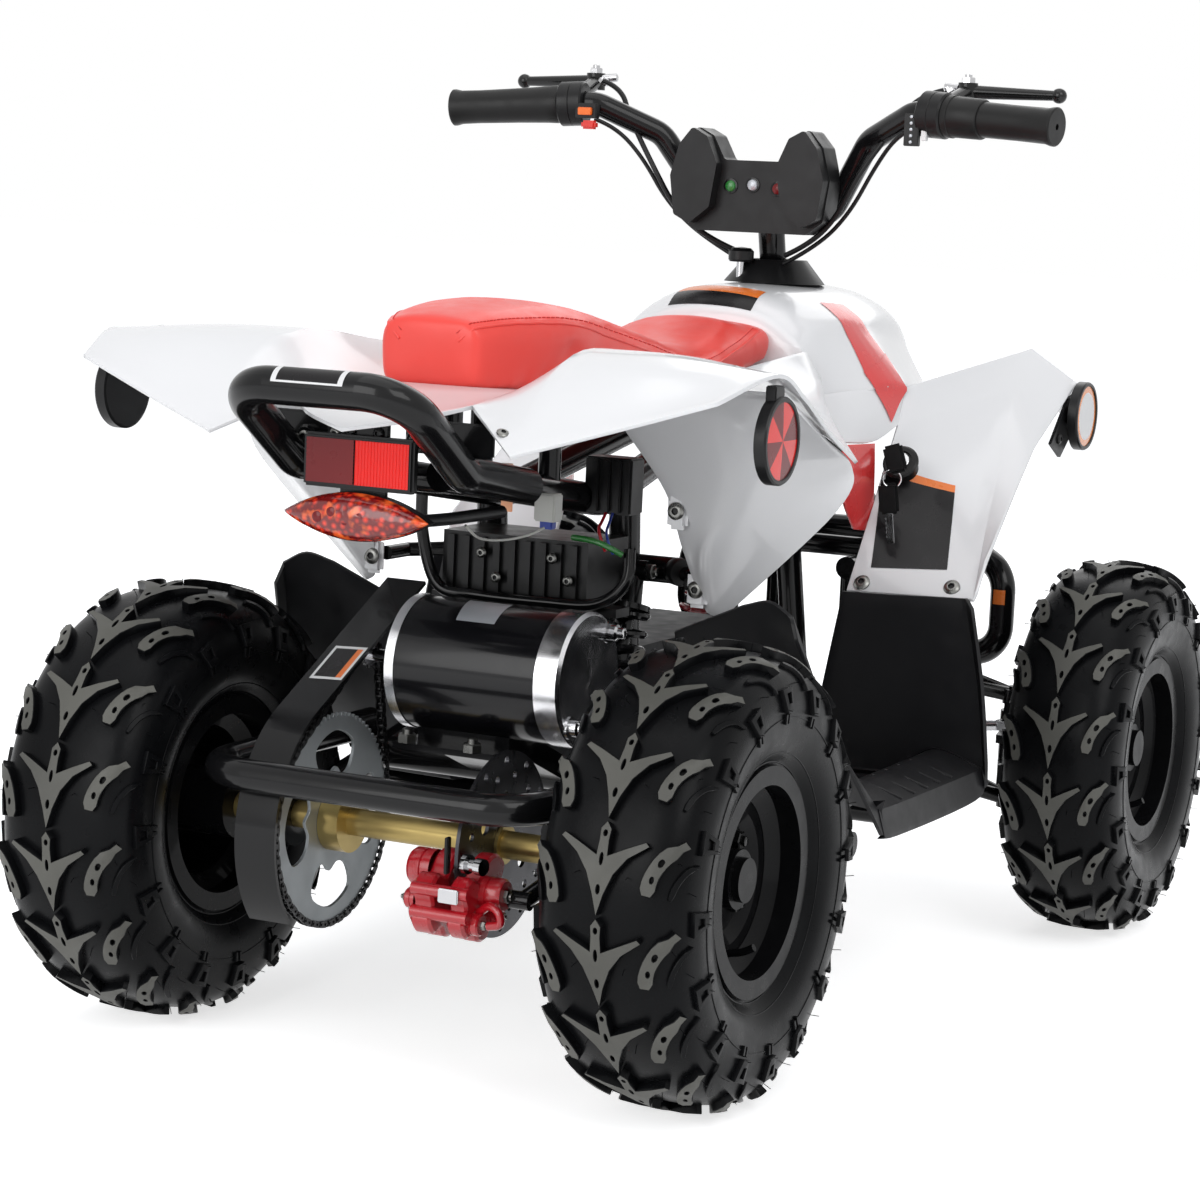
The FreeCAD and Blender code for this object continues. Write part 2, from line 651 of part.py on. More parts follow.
bar_end = vec(*bar_points[-1])
bar_along = (bar_end - vec(*bar_points[-2])).normalize()
grip_length = 108.0
grip_start = bar_end - bar_along * (grip_length - 3)
grip = Part.makeCylinder(grip_radius, grip_length, grip_start, bar_along)
grip = grip.cut(Part.makeCylinder(bar_radius + 0.1, grip_length - 2.9, grip_start, bar_along))
put("grips", *both_sides(grip))
pod_radius = 21.0
pod_start = grip_start - bar_along * 25.0
pod = Part.makeCylinder(pod_radius, 24.7, pod_start, bar_along)
pod = pod.cut(Part.makeCylinder(bar_radius + 0.1, 30, pod_start - bar_along, bar_along))
put("switch_pods", *both_sides(pod))
lever_pivot = (189, bar_low_y + 1, bar_low_z + 118)
lever_tip = (272, bar_low_y - 10, bar_low_z + 117)
perch = rod(tuple(pod_start + bar_along * 12 + vec(0, -4, 6)), lever_pivot, 7)
perch = perch.cut(Part.makeCylinder(pod_radius + fit_gap, 60, pod_start - bar_along * 20, bar_along))
pivot_foot = vec(*lever_pivot) - vec(0, 0, 8)
blade_axis = vec(*lever_tip) - vec(*lever_pivot)
blade = Part.makeCone(6.5, 4.5, blade_axis.Length, vec(*lever_pivot), blade_axis)
lever = joined([perch, blade, Part.makeSphere(7, vec(*lever_tip)), Part.makeCylinder(9, 16, pivot_foot)])
put("brake_levers", *both_sides(lever))

dash_front = bar_low_y + 20 + fit_gap
dash_half = [(28, 716), (40, 738), (56, 746), (70, 730), (78, 700), (73, 662), (56, 650)]
dash_outline = [(x, dash_front, z) for x, z in dash_half + [(-x, z) for x, z in reversed(dash_half)]]
ear = [(30, dash_front, 712), (41, dash_front, 737), (56, dash_front, 745), (69, dash_front, 729),
       (77, dash_front, 700), (72, dash_front, 664), (56, dash_front, 656), (36, dash_front, 672)]
ears = both_sides(rounded(ear, 4, (0, 42, 0)))
dash = joined([rounded(dash_outline, 5, (0, 28, 0)), *ears])
put("dash_pod", dash.cut(bent_tube(bar_points, bar_radius + 1, 28)))

# Body panels

cowl_back_y = front_y + 273.0
seat_nose_y = cowl_back_y + 0.4
seat_rows = [(28, 62, 531, 588), (-20, 76, 528.8, 590), (-110, 78, 524.7, 586), (-220, 78, 519.2, 566),
             (-330, 76, 514.2, 549), (-410, 66, 528.6, 566), (-470, 52, 540, 583),
             (seat_nose_y, 46, 545, 580)]
seat_wires = []
for y, half, low, high in seat_rows:
    crown = half * 0.72
    seat_wires.append(polygon([(-half, y, low), (-half, y, high - 14), (-crown, y, high), (crown, y, high),
                               (half, y, high - 14), (half, y, low)]))
put("seat", Part.makeLoft(seat_wires, True, True))

deck_x = 84.0
deck_side = [
    [(75, 92, 522), (128, 131, 491), (200, 112, 514), (271, 93, 538)],
    [(deck_x, 30, 530.8), (125, 30, 561), (205, 35, 562), (290, 28, 557)],
    [(deck_x, -118, 523.8), (125, -118, 553), (200, -95, 551), (291, -24, 538)],
    [(deck_x, -312, 531), (114, -312, 529), (170, -250, 515), (292, -75, 510)],
    [(96, cowl_back_y + 3, 548), (112, cowl_back_y + 3, 525), (150, -420, 498), (292, -131, 485)],
]
trough = [
    [(-75, 92, 522), (-45, 128, 512), (0, 152, 503), (45, 128, 512), (75, 92, 522)],
    [(-deck_x, 30, 530.8), (-42, 30, 530.8), (0, 30, 530.8), (42, 30, 530.8), (deck_x, 30, 530.8)],
    [(-deck_x, -118, 523.8), (-42, -118, 523.8), (0, -118, 523.8), (42, -118, 523.8), (deck_x, -118, 523.8)],
]
sheet_down = (0, 0, -panel_wall)
blade = facets(deck_side, sheet_down)
deck = joined([blade, mirrored(blade), facets(trough, sheet_down)])
deck = deck.cut(bent_tube(grab_points, grab_tube + 2, 34))
lamp_hanger = box((-20, 114.7, 428), (20, 117.7, 508))
put("rear_fender", joined([deck, lamp_hanger]))

arch = [
    [(-112, -88, 503), (-175, -50, 530), (-230, -15, 540), (-288, 10, 542.5)],
    [(-138, -117, 452), (-215, -75, 490), (-252, -76, 497), (-290.5, -68, 505)],
    [(-144, -140, 408), (-196, -104, 440), (-250, -120, 467), (-290.5, -128, 479)],
    [(-150, -160, 372), (-178, -120, 410), (-225, -140, 425), (-276, -138, 444)],
    [(-155, -170, 352), (-159, -172, 350), (-162, -173, 348), (-166, -175, 348)],
]
tabs = [box((-158, panel_tab_y, 362), (-134, panel_tab_y + panel_wall, 382)),
        box((-152, -131, 424), (-124, -128, 444))]
panel = joined([facets(arch, (0, -panel_wall, 0))] + tabs)
put("arch_panels", *both_sides(panel))

tray_front_y = front_y + 280.0
front = [
    [(-150, tray_front_y + 3, 338), (-266, tray_front_y - 7, 340), (-268, tray_front_y - 25, 373)],
    [(-157, front_y + 195, 482), (-220, front_y + 70, 513), (-262, front_y + 115, 466)],
    [(-151, front_y + 165, 516), (-214, front_y - 2, 551), (-262, front_y, 521)],
    [(-120, front_y - 95, 470), (-190, front_y - 115, 500), (-240, front_y - 105, 470)],
]
put("front_fenders", *both_sides(facets(front, (0, -2.2, -2.2))))

inner = -tray_inner_x
flange = facets([[(inner, -164, 326), (-250, -164, 332)], [(inner, -262, 163), (-280, -262, 165)]], (0, 3, 0))
floor = facets([[(inner, -259, 163), (-280, -259, 165)],
                [(inner, tray_front_y, 163), (-286, tray_front_y - 2, 180)]], (0, 0, -tray_wall))
splash = facets([[(inner, tray_front_y + 3, 160), (-286, tray_front_y + 1, 178)],
                 [(-148, tray_front_y + 6.3, 337), (-266, tray_front_y - 3.7, 339)]], (0, -tray_wall, 0))
tray = joined([flange, floor, splash])
put("foot_trays", *both_sides(tray))

cowl_rows = [(cowl_back_y, 100, 505, 92, 594), (front_y + 165, 150.5, 516.6, 112, 603),
             (front_y + 45, 134, 495, 102, 600), (front_y - 35, 122, 462, 86, 560),
             (front_y - 85, 108, 445, 72, 512)]


def cowl_form(wall):
    """The cowl's outer form, or its hollow when a wall thickness is given."""
    wires = []
    for i, (y, foot_half, low, half, top) in enumerate(cowl_rows):
        if wall and i == 0:
            y += 1
        if wall and i == len(cowl_rows) - 1:
            y += wall
        f, w, t, b = foot_half - wall, half - wall, top - wall, low - wall
        mid = (low + top) / 2.0
        right = [(f, y, b), (w, y, mid), (w * 0.85, y, t - 24), (w * 0.5, y, t - 5)]
        left = [(-x, y, z) for x, y, z in right]
        wires.append(polygon(left + [(0, y, t)] + right[::-1]))
    return Part.makeLoft(wires, True, True)


lamp_x = 36.0
lamp_z = 478.0
lamp_radius = 22.0
cowl = cowl_form(0).cut(cowl_form(panel_wall))
cowl = cowl.cut(Part.makeCylinder(34, 200, on_column(200), column_axis))
for side in (1, -1):
    cowl = cowl.cut(rod((lamp_x * side, front_y - 35, lamp_z), (lamp_x * side, front_y - 135, lamp_z),
                        lamp_radius + fit_gap))
put("front_cowl", cowl)

boot_z = 603.0 + fit_gap
boot_y = column_top_y - (column_top_z - boot_z) * math.tan(rake)
boot = Part.makeCone(48, 30, 22, vec(0, boot_y, boot_z))
put("column_cover", boot.cut(Part.makeCylinder(column_radius + 6, 200, on_column(180), column_axis)))

# Guards, shock absorber and caliper

guard_radius = pitch_radius + 22.0
guard_sheet = 3.0
guard_low_x = sprocket_x - 14.0
guard_high_x = sprocket_x + 22.0


def guard_point(angle):
    """A point of the chain guard's arc; angle is measured from straight back, upward positive."""
    turn = math.radians(angle)
    return vec(guard_low_x, guard_radius * math.cos(turn), axle_z + guard_radius * math.sin(turn))


guard_end = 62.0
guard_straight = 185.0
arc = Part.Arc(guard_point(-40), guard_point(10), guard_point(guard_end)).toShape()
tangent = vec(0, -math.sin(math.radians(guard_end)), math.cos(math.radians(guard_end)))
straight = Part.makeLine(guard_point(guard_end), guard_point(guard_end) + tangent * guard_straight)
strip = Part.Wire([arc, straight]).extrude(vec(guard_high_x - guard_low_x, 0, 0))
put("chain_guard", strip.makeOffsetShape(guard_sheet, 0.01, fill=True))

shock_low_z = pivot_z + 13.0
low_eye = rod((shock_x - 11, pivot_y + 40, shock_low_z), (shock_x + 11, pivot_y + 40, shock_low_z), 8.5)
high_eye_y = shock_bar_y + rail_tube - 2 + 9
high_eye = rod((shock_x - 11, high_eye_y, shock_bar_z), (shock_x + 11, high_eye_y, shock_bar_z), 8.5)
low_point = (shock_x, pivot_y + 40, shock_low_z)
high_point = (shock_x, high_eye_y, shock_bar_z)
damper = rod(low_point, high_point, 7)
put("rear_shock", joined([low_eye, high_eye, damper, coil(low_point, high_point, 0.14, 0.78, 19, 8)]))

body = [(28, -40), (38, -54), (66, -62), (88, -58), (101, -44),
        (99, -22), (84, -8), (62, 2), (40, 4), (30, -8)]
caliper = rounded([(caliper_face, y, axle_z + z) for y, z in body], 5, (46, 0, 0))
lobes = [rod((disc_x + 20, 60, axle_z - 12), (disc_x + 44, 60, axle_z - 12), 15),
         rod((disc_x + 20, 68, axle_z - 42), (disc_x + 38, 68, axle_z - 42), 13),
         rod((caliper_face + 2, 62, axle_z - 20), (disc_x + 30, 62, axle_z - 20), 17)]
caliper = joined([caliper] + lobes)
put("brake_caliper", caliper.cut(rod((disc_x - 6.5, 0, axle_z), (disc_x + 6.5, 0, axle_z), disc_radius + 6)))

# Lamps and reflectors

reflector_radius = 32.5
lamp_back_y = front_y - 70.0
lamp = rod((lamp_x, lamp_back_y, lamp_z), (lamp_x, lamp_back_y - 27, lamp_z), lamp_radius)
put("headlamps", *both_sides(lamp))
key_y = tray_front_y - 57.0
put("key_switch", rod((-172, key_y - 11.3, 443.8), (-172.6, key_y, 450.8), 13))


def lens_outline(y, share):
    """A long lens with pointed ends in a plane of constant y, as a share of the full one."""
    left, right = vec(-62 * share, y, 436), vec(62 * share, y, 436)
    return Part.Wire([Part.Arc(left, vec(0, y, 436 + 18 * share), right).toShape(),
                      Part.Arc(right, vec(0, y, 436 - 18 * share), left).toShape()])


lens_front = 118.0
base = Part.Face(lens_outline(lens_front, 0.96)).extrude(vec(0, 8, 0))
lens = Part.makeLoft([lens_outline(lens_front + 8, 1.0), lens_outline(lens_front + 16, 0.97),
                      lens_outline(lens_front + 22, 0.84)], True, True)
stalk = rod((-46, lens_front + 4, 436), (-66, 22, 438), 5)
put("tail_lamp", joined([base, lens, stalk]))
plate = [(-47, lens_front, 456), (47, lens_front, 456), (47, lens_front, 496), (-47, lens_front, 496)]
put("rear_reflector", rounded(plate, 3, (0, 11, 0)))

reflector_sheet = 11.0
rear_disc = rod((281, 17, 508), (281 + reflector_sheet, 17, 508), reflector_radius)
rear_tab = box((281, 14, 530), (290, 30, 548.6))
front_disc = rod((264, front_y, 490), (264 + reflector_sheet, front_y, 490), reflector_radius)
front_plate = prism([(258.6, front_y - 4, 512), (258.6, front_y + 22, 506.9), (258.6, front_y + 66, 466),
                     (258.6, front_y + 36, 452), (258.6, front_y + 4, 474)], (3, 0, 0))
front_pin = rod((260, front_y + 6, 490), (265, front_y + 6, 490), 8)
put("side_reflectors", *both_sides(joined([rear_disc, rear_tab])),
    *both_sides(joined([front_disc, front_plate, front_pin])))

os.makedirs("parts", exist_ok=True)
for name, solid in parts.items():
    placed = solid.copy()
    placed.translate(vec(0, shift_y, 0))
    placed.exportStep(f"parts/{name}.step")
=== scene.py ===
import json
from math import acos, atan2, cos, hypot, pi, radians, sin, sqrt

import bmesh
import bpy
from mathutils import Matrix, Vector
from mathutils.bvhtree import BVHTree
from mathutils.geometry import delaunay_2d_cdt


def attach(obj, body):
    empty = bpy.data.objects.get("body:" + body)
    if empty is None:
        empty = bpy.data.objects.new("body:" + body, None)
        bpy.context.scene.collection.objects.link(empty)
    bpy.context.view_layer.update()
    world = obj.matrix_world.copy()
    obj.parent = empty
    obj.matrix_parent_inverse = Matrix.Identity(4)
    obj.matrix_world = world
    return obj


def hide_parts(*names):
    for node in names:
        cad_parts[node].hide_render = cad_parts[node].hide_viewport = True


# A child's electric quad bike in a pale studio, seen from behind and to the rider's right.
# Metres. +X is the rider's left, the front faces -Y, +Z is up, the ground is z = 0.
# Places on the bike are written in millimetres from the ground point below the rear axle.

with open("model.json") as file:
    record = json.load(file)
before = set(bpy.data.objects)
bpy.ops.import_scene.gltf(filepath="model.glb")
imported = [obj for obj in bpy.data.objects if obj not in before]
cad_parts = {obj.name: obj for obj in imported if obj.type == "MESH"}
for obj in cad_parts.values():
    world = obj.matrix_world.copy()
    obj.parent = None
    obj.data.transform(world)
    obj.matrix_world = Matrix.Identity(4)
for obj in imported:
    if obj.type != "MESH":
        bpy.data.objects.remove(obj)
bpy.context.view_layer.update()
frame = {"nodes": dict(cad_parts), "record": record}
nodes = frame["nodes"]

SHIFT_Y = 0.37075
FRONT_AXLE_Y = -765.0
AXLE_Z = 177.5
REAR_WHEEL_X = 235.5
FRONT_WHEEL_X = 314.0
TYRE_RADIUS = 177.5
LUG_HEIGHT = 7.0
MOTOR_Y = -52.0
MOTOR_Z = 304.0
SPROCKET_X = 88.0


def at(x, y, z):
    """A place given in mm from the point below the rear axle, in the frame's metres."""
    return Vector((x, y, z)) * 0.001 + Vector((0, SHIFT_Y, 0))


def angles(count):
    """Equal steps of one turn."""
    return [2 * pi * k / count for k in range(count)]


def set_all(thing, **values):
    for name, value in values.items():
        setattr(thing, name, value)


def add_object(name, data):
    thing = bpy.data.objects.new(name, data)
    bpy.context.collection.objects.link(thing)
    return thing


def enter(piece, body, slot, *replaced):
    """Tell the frame which body a piece rides on and the nodes that it replaces; the slot is not used."""
    bpy.context.view_layer.update()
    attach(piece, body)
    if replaced:
        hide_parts(*replaced)


# Camera

def place_camera():
    azimuth = radians(206.0755)
    elevation = radians(7.5121)
    roll = radians(2.5690)
    forward = Vector((-sin(azimuth) * cos(elevation), cos(azimuth) * cos(elevation), -sin(elevation)))
    level = forward.cross(Vector((0, 0, 1))).normalized()
    upright = level.cross(forward)
    right = level * cos(roll) + upright * sin(roll)
    up = right.cross(forward)
    data = bpy.data.cameras.new("camera")
    set_all(data, lens=92.80, sensor_width=36.0, clip_end=60.0)
    camera = bpy.context.scene.camera = add_object("camera", data)
    turn = Matrix((right, up, -forward)).transposed().to_4x4()
    camera.matrix_world = Matrix.Translation((-1.16001, 2.45273, 0.68133)) @ turn


place_camera()


# Materials

MATERIALS = {}


def new_material(name):
    """A new material, listed under its name: its node tree and its shader."""
    material = MATERIALS[name] = bpy.data.materials.new(name)
    material.use_nodes = True
    return material.node_tree, material.node_tree.nodes["Principled BSDF"]


def put(node, **values):
    """Set a node's inputs by name, with _ for each space."""
    for name, value in values.items():
        node.inputs[name.replace("_", " ")].default_value = value


def noise(tree, scale, detail=3.0):
    """A noise texture in the object's own coordinates."""
    coords = tree.nodes.new("ShaderNodeTexCoord")
    texture = tree.nodes.new("ShaderNodeTexNoise")
    put(texture, Scale=scale, Detail=detail)
    tree.links.new(coords.outputs["Object"], texture.inputs["Vector"])
    return texture.outputs["Fac"]


def remap(tree, value, low, high, from_low=0.3, from_high=0.7):
    node = tree.nodes.new("ShaderNodeMapRange")
    put(node, From_Min=from_low, From_Max=from_high, To_Min=low, To_Max=high)
    tree.links.new(value, node.inputs["Value"])
    return node.outputs["Result"]


def mix_colors(tree, factor, first, second):
    """first where the factor is 0, second where it is 1; each a colour or a socket."""
    node = tree.nodes.new("ShaderNodeMix")
    node.data_type = "RGBA"
    tree.links.new(factor, node.inputs["Factor"])
    for name, value in (("A", first), ("B", second)):
        socket = [s for s in node.inputs if s.name == name and s.type == "RGBA"][0]
        if isinstance(value, bpy.types.NodeSocket):
            tree.links.new(value, socket)
        else:
            socket.default_value = (*value, 1.0)
    return [s for s in node.outputs if s.type == "RGBA"][0]


def add_bump(tree, shader, height, strength, distance):
    node = tree.nodes.new("ShaderNodeBump")
    put(node, Strength=strength, Distance=distance)
    tree.links.new(height, node.inputs["Height"])
    tree.links.new(node.outputs["Normal"], shader.inputs["Normal"])


def surface(name, color, roughness, metallic=0.0, coat=0.0, vary=0.12, grain=900.0, grain_depth=0.00004,
            emission=0.0, gloss=0.5, uneven=0.06):
    """A painted, moulded or bare surface with mottled colour, uneven gloss and a fine grain."""
    tree, shader = new_material(name)
    broad = noise(tree, 9.0, 4.0)
    dark = tuple(c * (1.0 - vary) for c in color)
    light = tuple(min(1.0, c * (1.0 + vary)) for c in color)
    tree.links.new(mix_colors(tree, remap(tree, broad, 0.0, 1.0), dark, light), shader.inputs["Base Color"])
    rough = remap(tree, noise(tree, 60.0), max(0.02, roughness - uneven), roughness + uneven)
    tree.links.new(rough, shader.inputs["Roughness"])
    put(shader, Metallic=metallic, Specular_IOR_Level=gloss, Coat_Weight=coat, Coat_Roughness=0.06)
    # Only the reflectors' highlight red uses this: a painted glow, though no lamp is behind it.
    if emission:
        put(shader, Emission_Color=(*color, 1.0), Emission_Strength=emission)
    add_bump(tree, shader, noise(tree, grain, 2.0), 0.35, grain_depth)


surface("white_panel", (0.80, 0.80, 0.81), 0.22, coat=0.4, vary=0.01, grain=300.0, grain_depth=0.00002,
        uneven=0.015)
surface("black_frame", (0.005, 0.005, 0.0055), 0.2, coat=0.22, grain=240.0, gloss=0.15, uneven=0.03)
surface("wheel_black", (0.005, 0.005, 0.0055), 0.3, coat=0.12, gloss=0.04)
surface("tyre", (0.004, 0.0042, 0.0048), 0.3, grain=700.0, grain_depth=0.0002, vary=0.25, gloss=0.08)
surface("grip_rubber", (0.007, 0.007, 0.007), 0.42, grain=1500.0, grain_depth=0.0001, gloss=0.25)
surface("seat_vinyl", (0.86, 0.070, 0.055), 0.34, grain_depth=0.00025, vary=0.05, gloss=0.4)
surface("black_plastic", (0.007, 0.007, 0.0075), 0.36, grain=1500.0, grain_depth=0.00008, gloss=0.25)
surface("dash_plastic", (0.009, 0.009, 0.0095), 0.4, grain=1600.0, grain_depth=0.0001, gloss=0.25)
surface("tray_plastic", (0.010, 0.010, 0.0112), 0.4, grain=1300.0, grain_depth=0.0001, gloss=0.25)
surface("black_lever", (0.006, 0.006, 0.006), 0.24, coat=0.2, gloss=0.25)
surface("red_caliper", (0.45, 0.006, 0.014), 0.3, coat=0.5)
surface("red_spring", (0.25, 0.006, 0.012), 0.3, coat=0.5)
surface("disc_steel", (0.05, 0.05, 0.055), 0.3, metallic=0.9)
surface("sprocket_steel", (0.27, 0.29, 0.30), 0.45, metallic=0.7)
surface("chain_steel", (0.02, 0.02, 0.021), 0.3, metallic=0.8)
surface("gold_axle", (0.36, 0.27, 0.10), 0.34, metallic=0.85, vary=0.2)
surface("zinc_rod", (0.55, 0.55, 0.57), 0.28, metallic=1.0)
surface("motor_black", (0.004, 0.004, 0.005), 0.2, coat=0.2, gloss=0.2, uneven=0.02)
surface("motor_alloy", (0.72, 0.72, 0.74), 0.2, metallic=1.0)
surface("battery_case", (0.012, 0.012, 0.0135), 0.5, gloss=0.3)
surface("red_lens", (0.50, 0.006, 0.010), 0.12, coat=0.8)
surface("red_reflector", (0.60, 0.014, 0.012), 0.15, coat=0.8)
surface("clear_lens", (0.75, 0.76, 0.78), 0.1, coat=0.8)
surface("tread_top", (0.075, 0.074, 0.064), 0.55, grain_depth=0.00015, vary=0.3)
surface("label_black", (0.008, 0.007, 0.008), 0.3, coat=0.1, vary=0.04, gloss=0.2)
surface("label_orange", (0.85, 0.20, 0.03), 0.3, coat=0.1, vary=0.03)
surface("label_white", (0.75, 0.75, 0.75), 0.35, coat=0.3, vary=0.03)
surface("label_silver", (0.45, 0.47, 0.5), 0.35, metallic=0.4, vary=0.1)
surface("decal_red", (0.72, 0.035, 0.035), 0.25, coat=0.5, vary=0.03)
# Dark red: the own colour of the bulbs and the tell-tale lamp, and on the reflectors the painted shade of the
# dull half and of every other wedge.
surface("dull_red", (0.15, 0.004, 0.006), 0.3, coat=0.15, vary=0.2, gloss=0.25)
# Painted highlight for the reflectors: a lighter copy of their red, with a faint painted glow though no lamp
# lights them.
surface("bright_red", (0.72, 0.018, 0.014), 0.2, coat=0.2, vary=0.15, emission=0.08, gloss=0.3)
surface("amber", (0.85, 0.23, 0.02), 0.2, coat=0.7)
surface("copper", (0.65, 0.33, 0.20), 0.35, metallic=0.9)
surface("bolt_steel", (0.20, 0.20, 0.19), 0.3, metallic=1.0, vary=0.2)
surface("chrome", (0.50, 0.50, 0.51), 0.16, metallic=1.0)
# Near black for bolt sockets and small holes: painted shade in the recesses.
surface("dark_hole", (0.003, 0.003, 0.003), 0.6)
surface("white_nylon", (0.62, 0.62, 0.58), 0.45)
surface("switch_orange", (0.85, 0.16, 0.01), 0.35)
surface("switch_red", (0.70, 0.03, 0.02), 0.35)
surface("wire_red", (0.50, 0.01, 0.02), 0.4)
surface("wire_blue", (0.02, 0.05, 0.35), 0.4)
surface("wire_green", (0.02, 0.18, 0.03), 0.35, coat=0.4)
surface("thread_red", (0.62, 0.03, 0.025), 0.6)


def turn_alloy(name):
    """Fine turning marks round X, which draw the highlights out into a cone."""
    tree = MATERIALS[name].node_tree
    shader = tree.nodes["Principled BSDF"]
    marks = tree.nodes.new("ShaderNodeTangent")
    marks.direction_type = "RADIAL"
    marks.axis = "X"
    tree.links.new(marks.outputs[0], shader.inputs["Tangent"])
    put(shader, Anisotropic=0.75)


turn_alloy("motor_alloy")

# The record's slot that each extra finish belongs to
SLOT_OF = {"tread_top": "tyre", "bolt_steel": "zinc_rod", "chrome": "zinc_rod", "copper": "zinc_rod",
           "label_silver": "motor_alloy", "label_white": "white_panel", "decal_red": "seat_vinyl",
           "thread_red": "seat_vinyl", "dull_red": "red_reflector", "bright_red": "red_reflector",
           "amber": "red_reflector", "white_nylon": "white_panel", "switch_red": "red_lens",
           "lamp_glass": "red_lens"}
RECORD_SLOTS = {part["material_slot"] for part in frame["record"]["subparts"]}


def slot_of(finish):
    return finish if finish in RECORD_SLOTS else SLOT_OF.get(finish, "black_plastic")


def dress_nodes():
    """Each CAD node gets the material of its slot."""
    for part in frame["record"]["subparts"]:
        mesh = nodes[part["node"]].data
        mesh.materials.clear()
        mesh.materials.append(MATERIALS[part["material_slot"]])


dress_nodes()


# Mesh tools

def weld(bm, gap=0.0001):
    bmesh.ops.remove_doubles(bm, verts=bm.verts[:], dist=gap)


def face_out(bm):
    bmesh.ops.recalc_face_normals(bm, faces=bm.faces[:])


def turned(x, y, z, radius, angle):
    """A place round an axle: radius mm from (x, y, z) mm, at an angle in the side view."""
    return x, y + radius * cos(angle), z + radius * sin(angle)


def add_piece(name, mesh_data, finishes, body="chassis", replaces=(), angle=35.0):
    """Make one piece of the scene out of a bmesh, riding on a body of the frame."""
    mesh = bpy.data.meshes.new(name)
    mesh_data.to_mesh(mesh)
    mesh_data.free()
    mesh.shade_smooth()
    mesh.set_sharp_from_angle(angle=radians(angle))
    for finish in finishes:
        mesh.materials.append(MATERIALS[finish])
    piece = add_object(name, mesh)
    enter(piece, body, slot_of(finishes[0]), *replaces)
    return piece


def curve_points(points, steps, corners=()):
    """A smooth line through the points; corners are the indices that stay sharp."""
    points = [Vector(p) for p in points]
    line = []
    ends = [0, *corners, len(points) - 1]
    for first, last in zip(ends, ends[1:]):
        run = points[first:last + 1]
        run = [run[0] * 2 - run[1], *run, run[-1] * 2 - run[-2]]
        for a, b, c, d in zip(run, run[1:], run[2:], run[3:]):
            for k in range(steps):
                t = k / steps
                line.append(b + (c - a) * (t / 2) + (a - b * 2.5 + c * 2 - d / 2) * t ** 2
                            + (b * 1.5 - a / 2 - c * 1.5 + d / 2) * t ** 3)
    line.append(points[-1])
    return line


def run_lengths(line):
    """The distance along a line at each of its points."""
    lengths = [0.0]
    for a, b in zip(line, line[1:]):
        lengths.append(lengths[-1] + (b - a).length)
    return lengths


def smooth_grid(rows, steps, creases=(), bends=()):
    """Rows of points as a dense smooth grid; creases are columns, and bends rows, that stay sharp."""
    across = [curve_points(row, steps, creases) for row in rows]
    columns = [curve_points(column, steps, bends) for column in zip(*across)]
    return [list(row) for row in zip(*columns)]


def add_grid(bm, grid, index=0, closed=False, flip=False):
    """Faces between neighbouring rows of points; closed joins each row's end to its start."""
    rows = [[bm.verts.new(p) for p in row] for row in grid]
    for low, high in zip(rows, rows[1:]):
        count = len(low)
        for i in range(count if closed else count - 1):
            k = (i + 1) % count
            corners = [low[i], low[k], high[k], high[i]]
            face = bm.faces.new(reversed(corners) if flip else corners)
            face.material_index = index
    return rows


def cap_ring(bm, ring, index=0, flip=False):
    face = bm.faces.new(reversed(ring) if flip else ring)
    face.material_index = index
    return face


def cross_axes(axis):
    """Two directions at right angles to an axis."""
    axis = axis.normalized()
    side = axis.cross(Vector((0, 0, 1)))
    if side.length < 0.1:
        side = axis.cross(Vector((0, 1, 0)))
    side.normalize()
    return side, axis.cross(side)


def add_lathe(bm, profile, centre, axis, sides=32, index=0):
    """Turn a profile of (along, radius) points about an axis through the centre, all in mm."""
    centre = at(*centre)
    axis = Vector(axis).normalized() * 0.001
    side, up = (v * 0.001 for v in cross_axes(axis))
    rings = []
    for along, radius in profile:
        if radius < 1e-6:
            rings.append([bm.verts.new(centre + axis * along)])
            continue
        rings.append([bm.verts.new(centre + axis * along + (side * cos(a) + up * sin(a)) * radius)
                      for a in angles(sides)])
    for low, high in zip(rings, rings[1:]):
        for i in range(sides):
            k = (i + 1) % sides
            corners = [low[i % len(low)], low[k % len(low)], high[k % len(high)], high[i % len(high)]]
            corners = list(dict.fromkeys(corners))
            if len(corners) > 2:
                bm.faces.new(corners).material_index = index


def add_tube(bm, points, radius, sides=12, index=0, closed=False):
    """A round tube along points, in metres."""
    count = len(points)
    side = None
    rings = []
    for i, point in enumerate(points):
        before = points[i - 1] if i or closed else points[0]
        after = points[(i + 1) % count] if i < count - 1 or closed else points[-1]
        along = (after - before).normalized()
        side = cross_axes(along)[0] if side is None else (side - along * side.dot(along)).normalized()
        up = along.cross(side)
        rings.append([point + (side * cos(a) + up * sin(a)) * radius for a in angles(sides)])
    if closed:
        rings.append(rings[0])
    rows = add_grid(bm, rings, index, closed=True)
    if not closed:
        cap_ring(bm, rows[0], index)
        cap_ring(bm, rows[-1], index, flip=True)


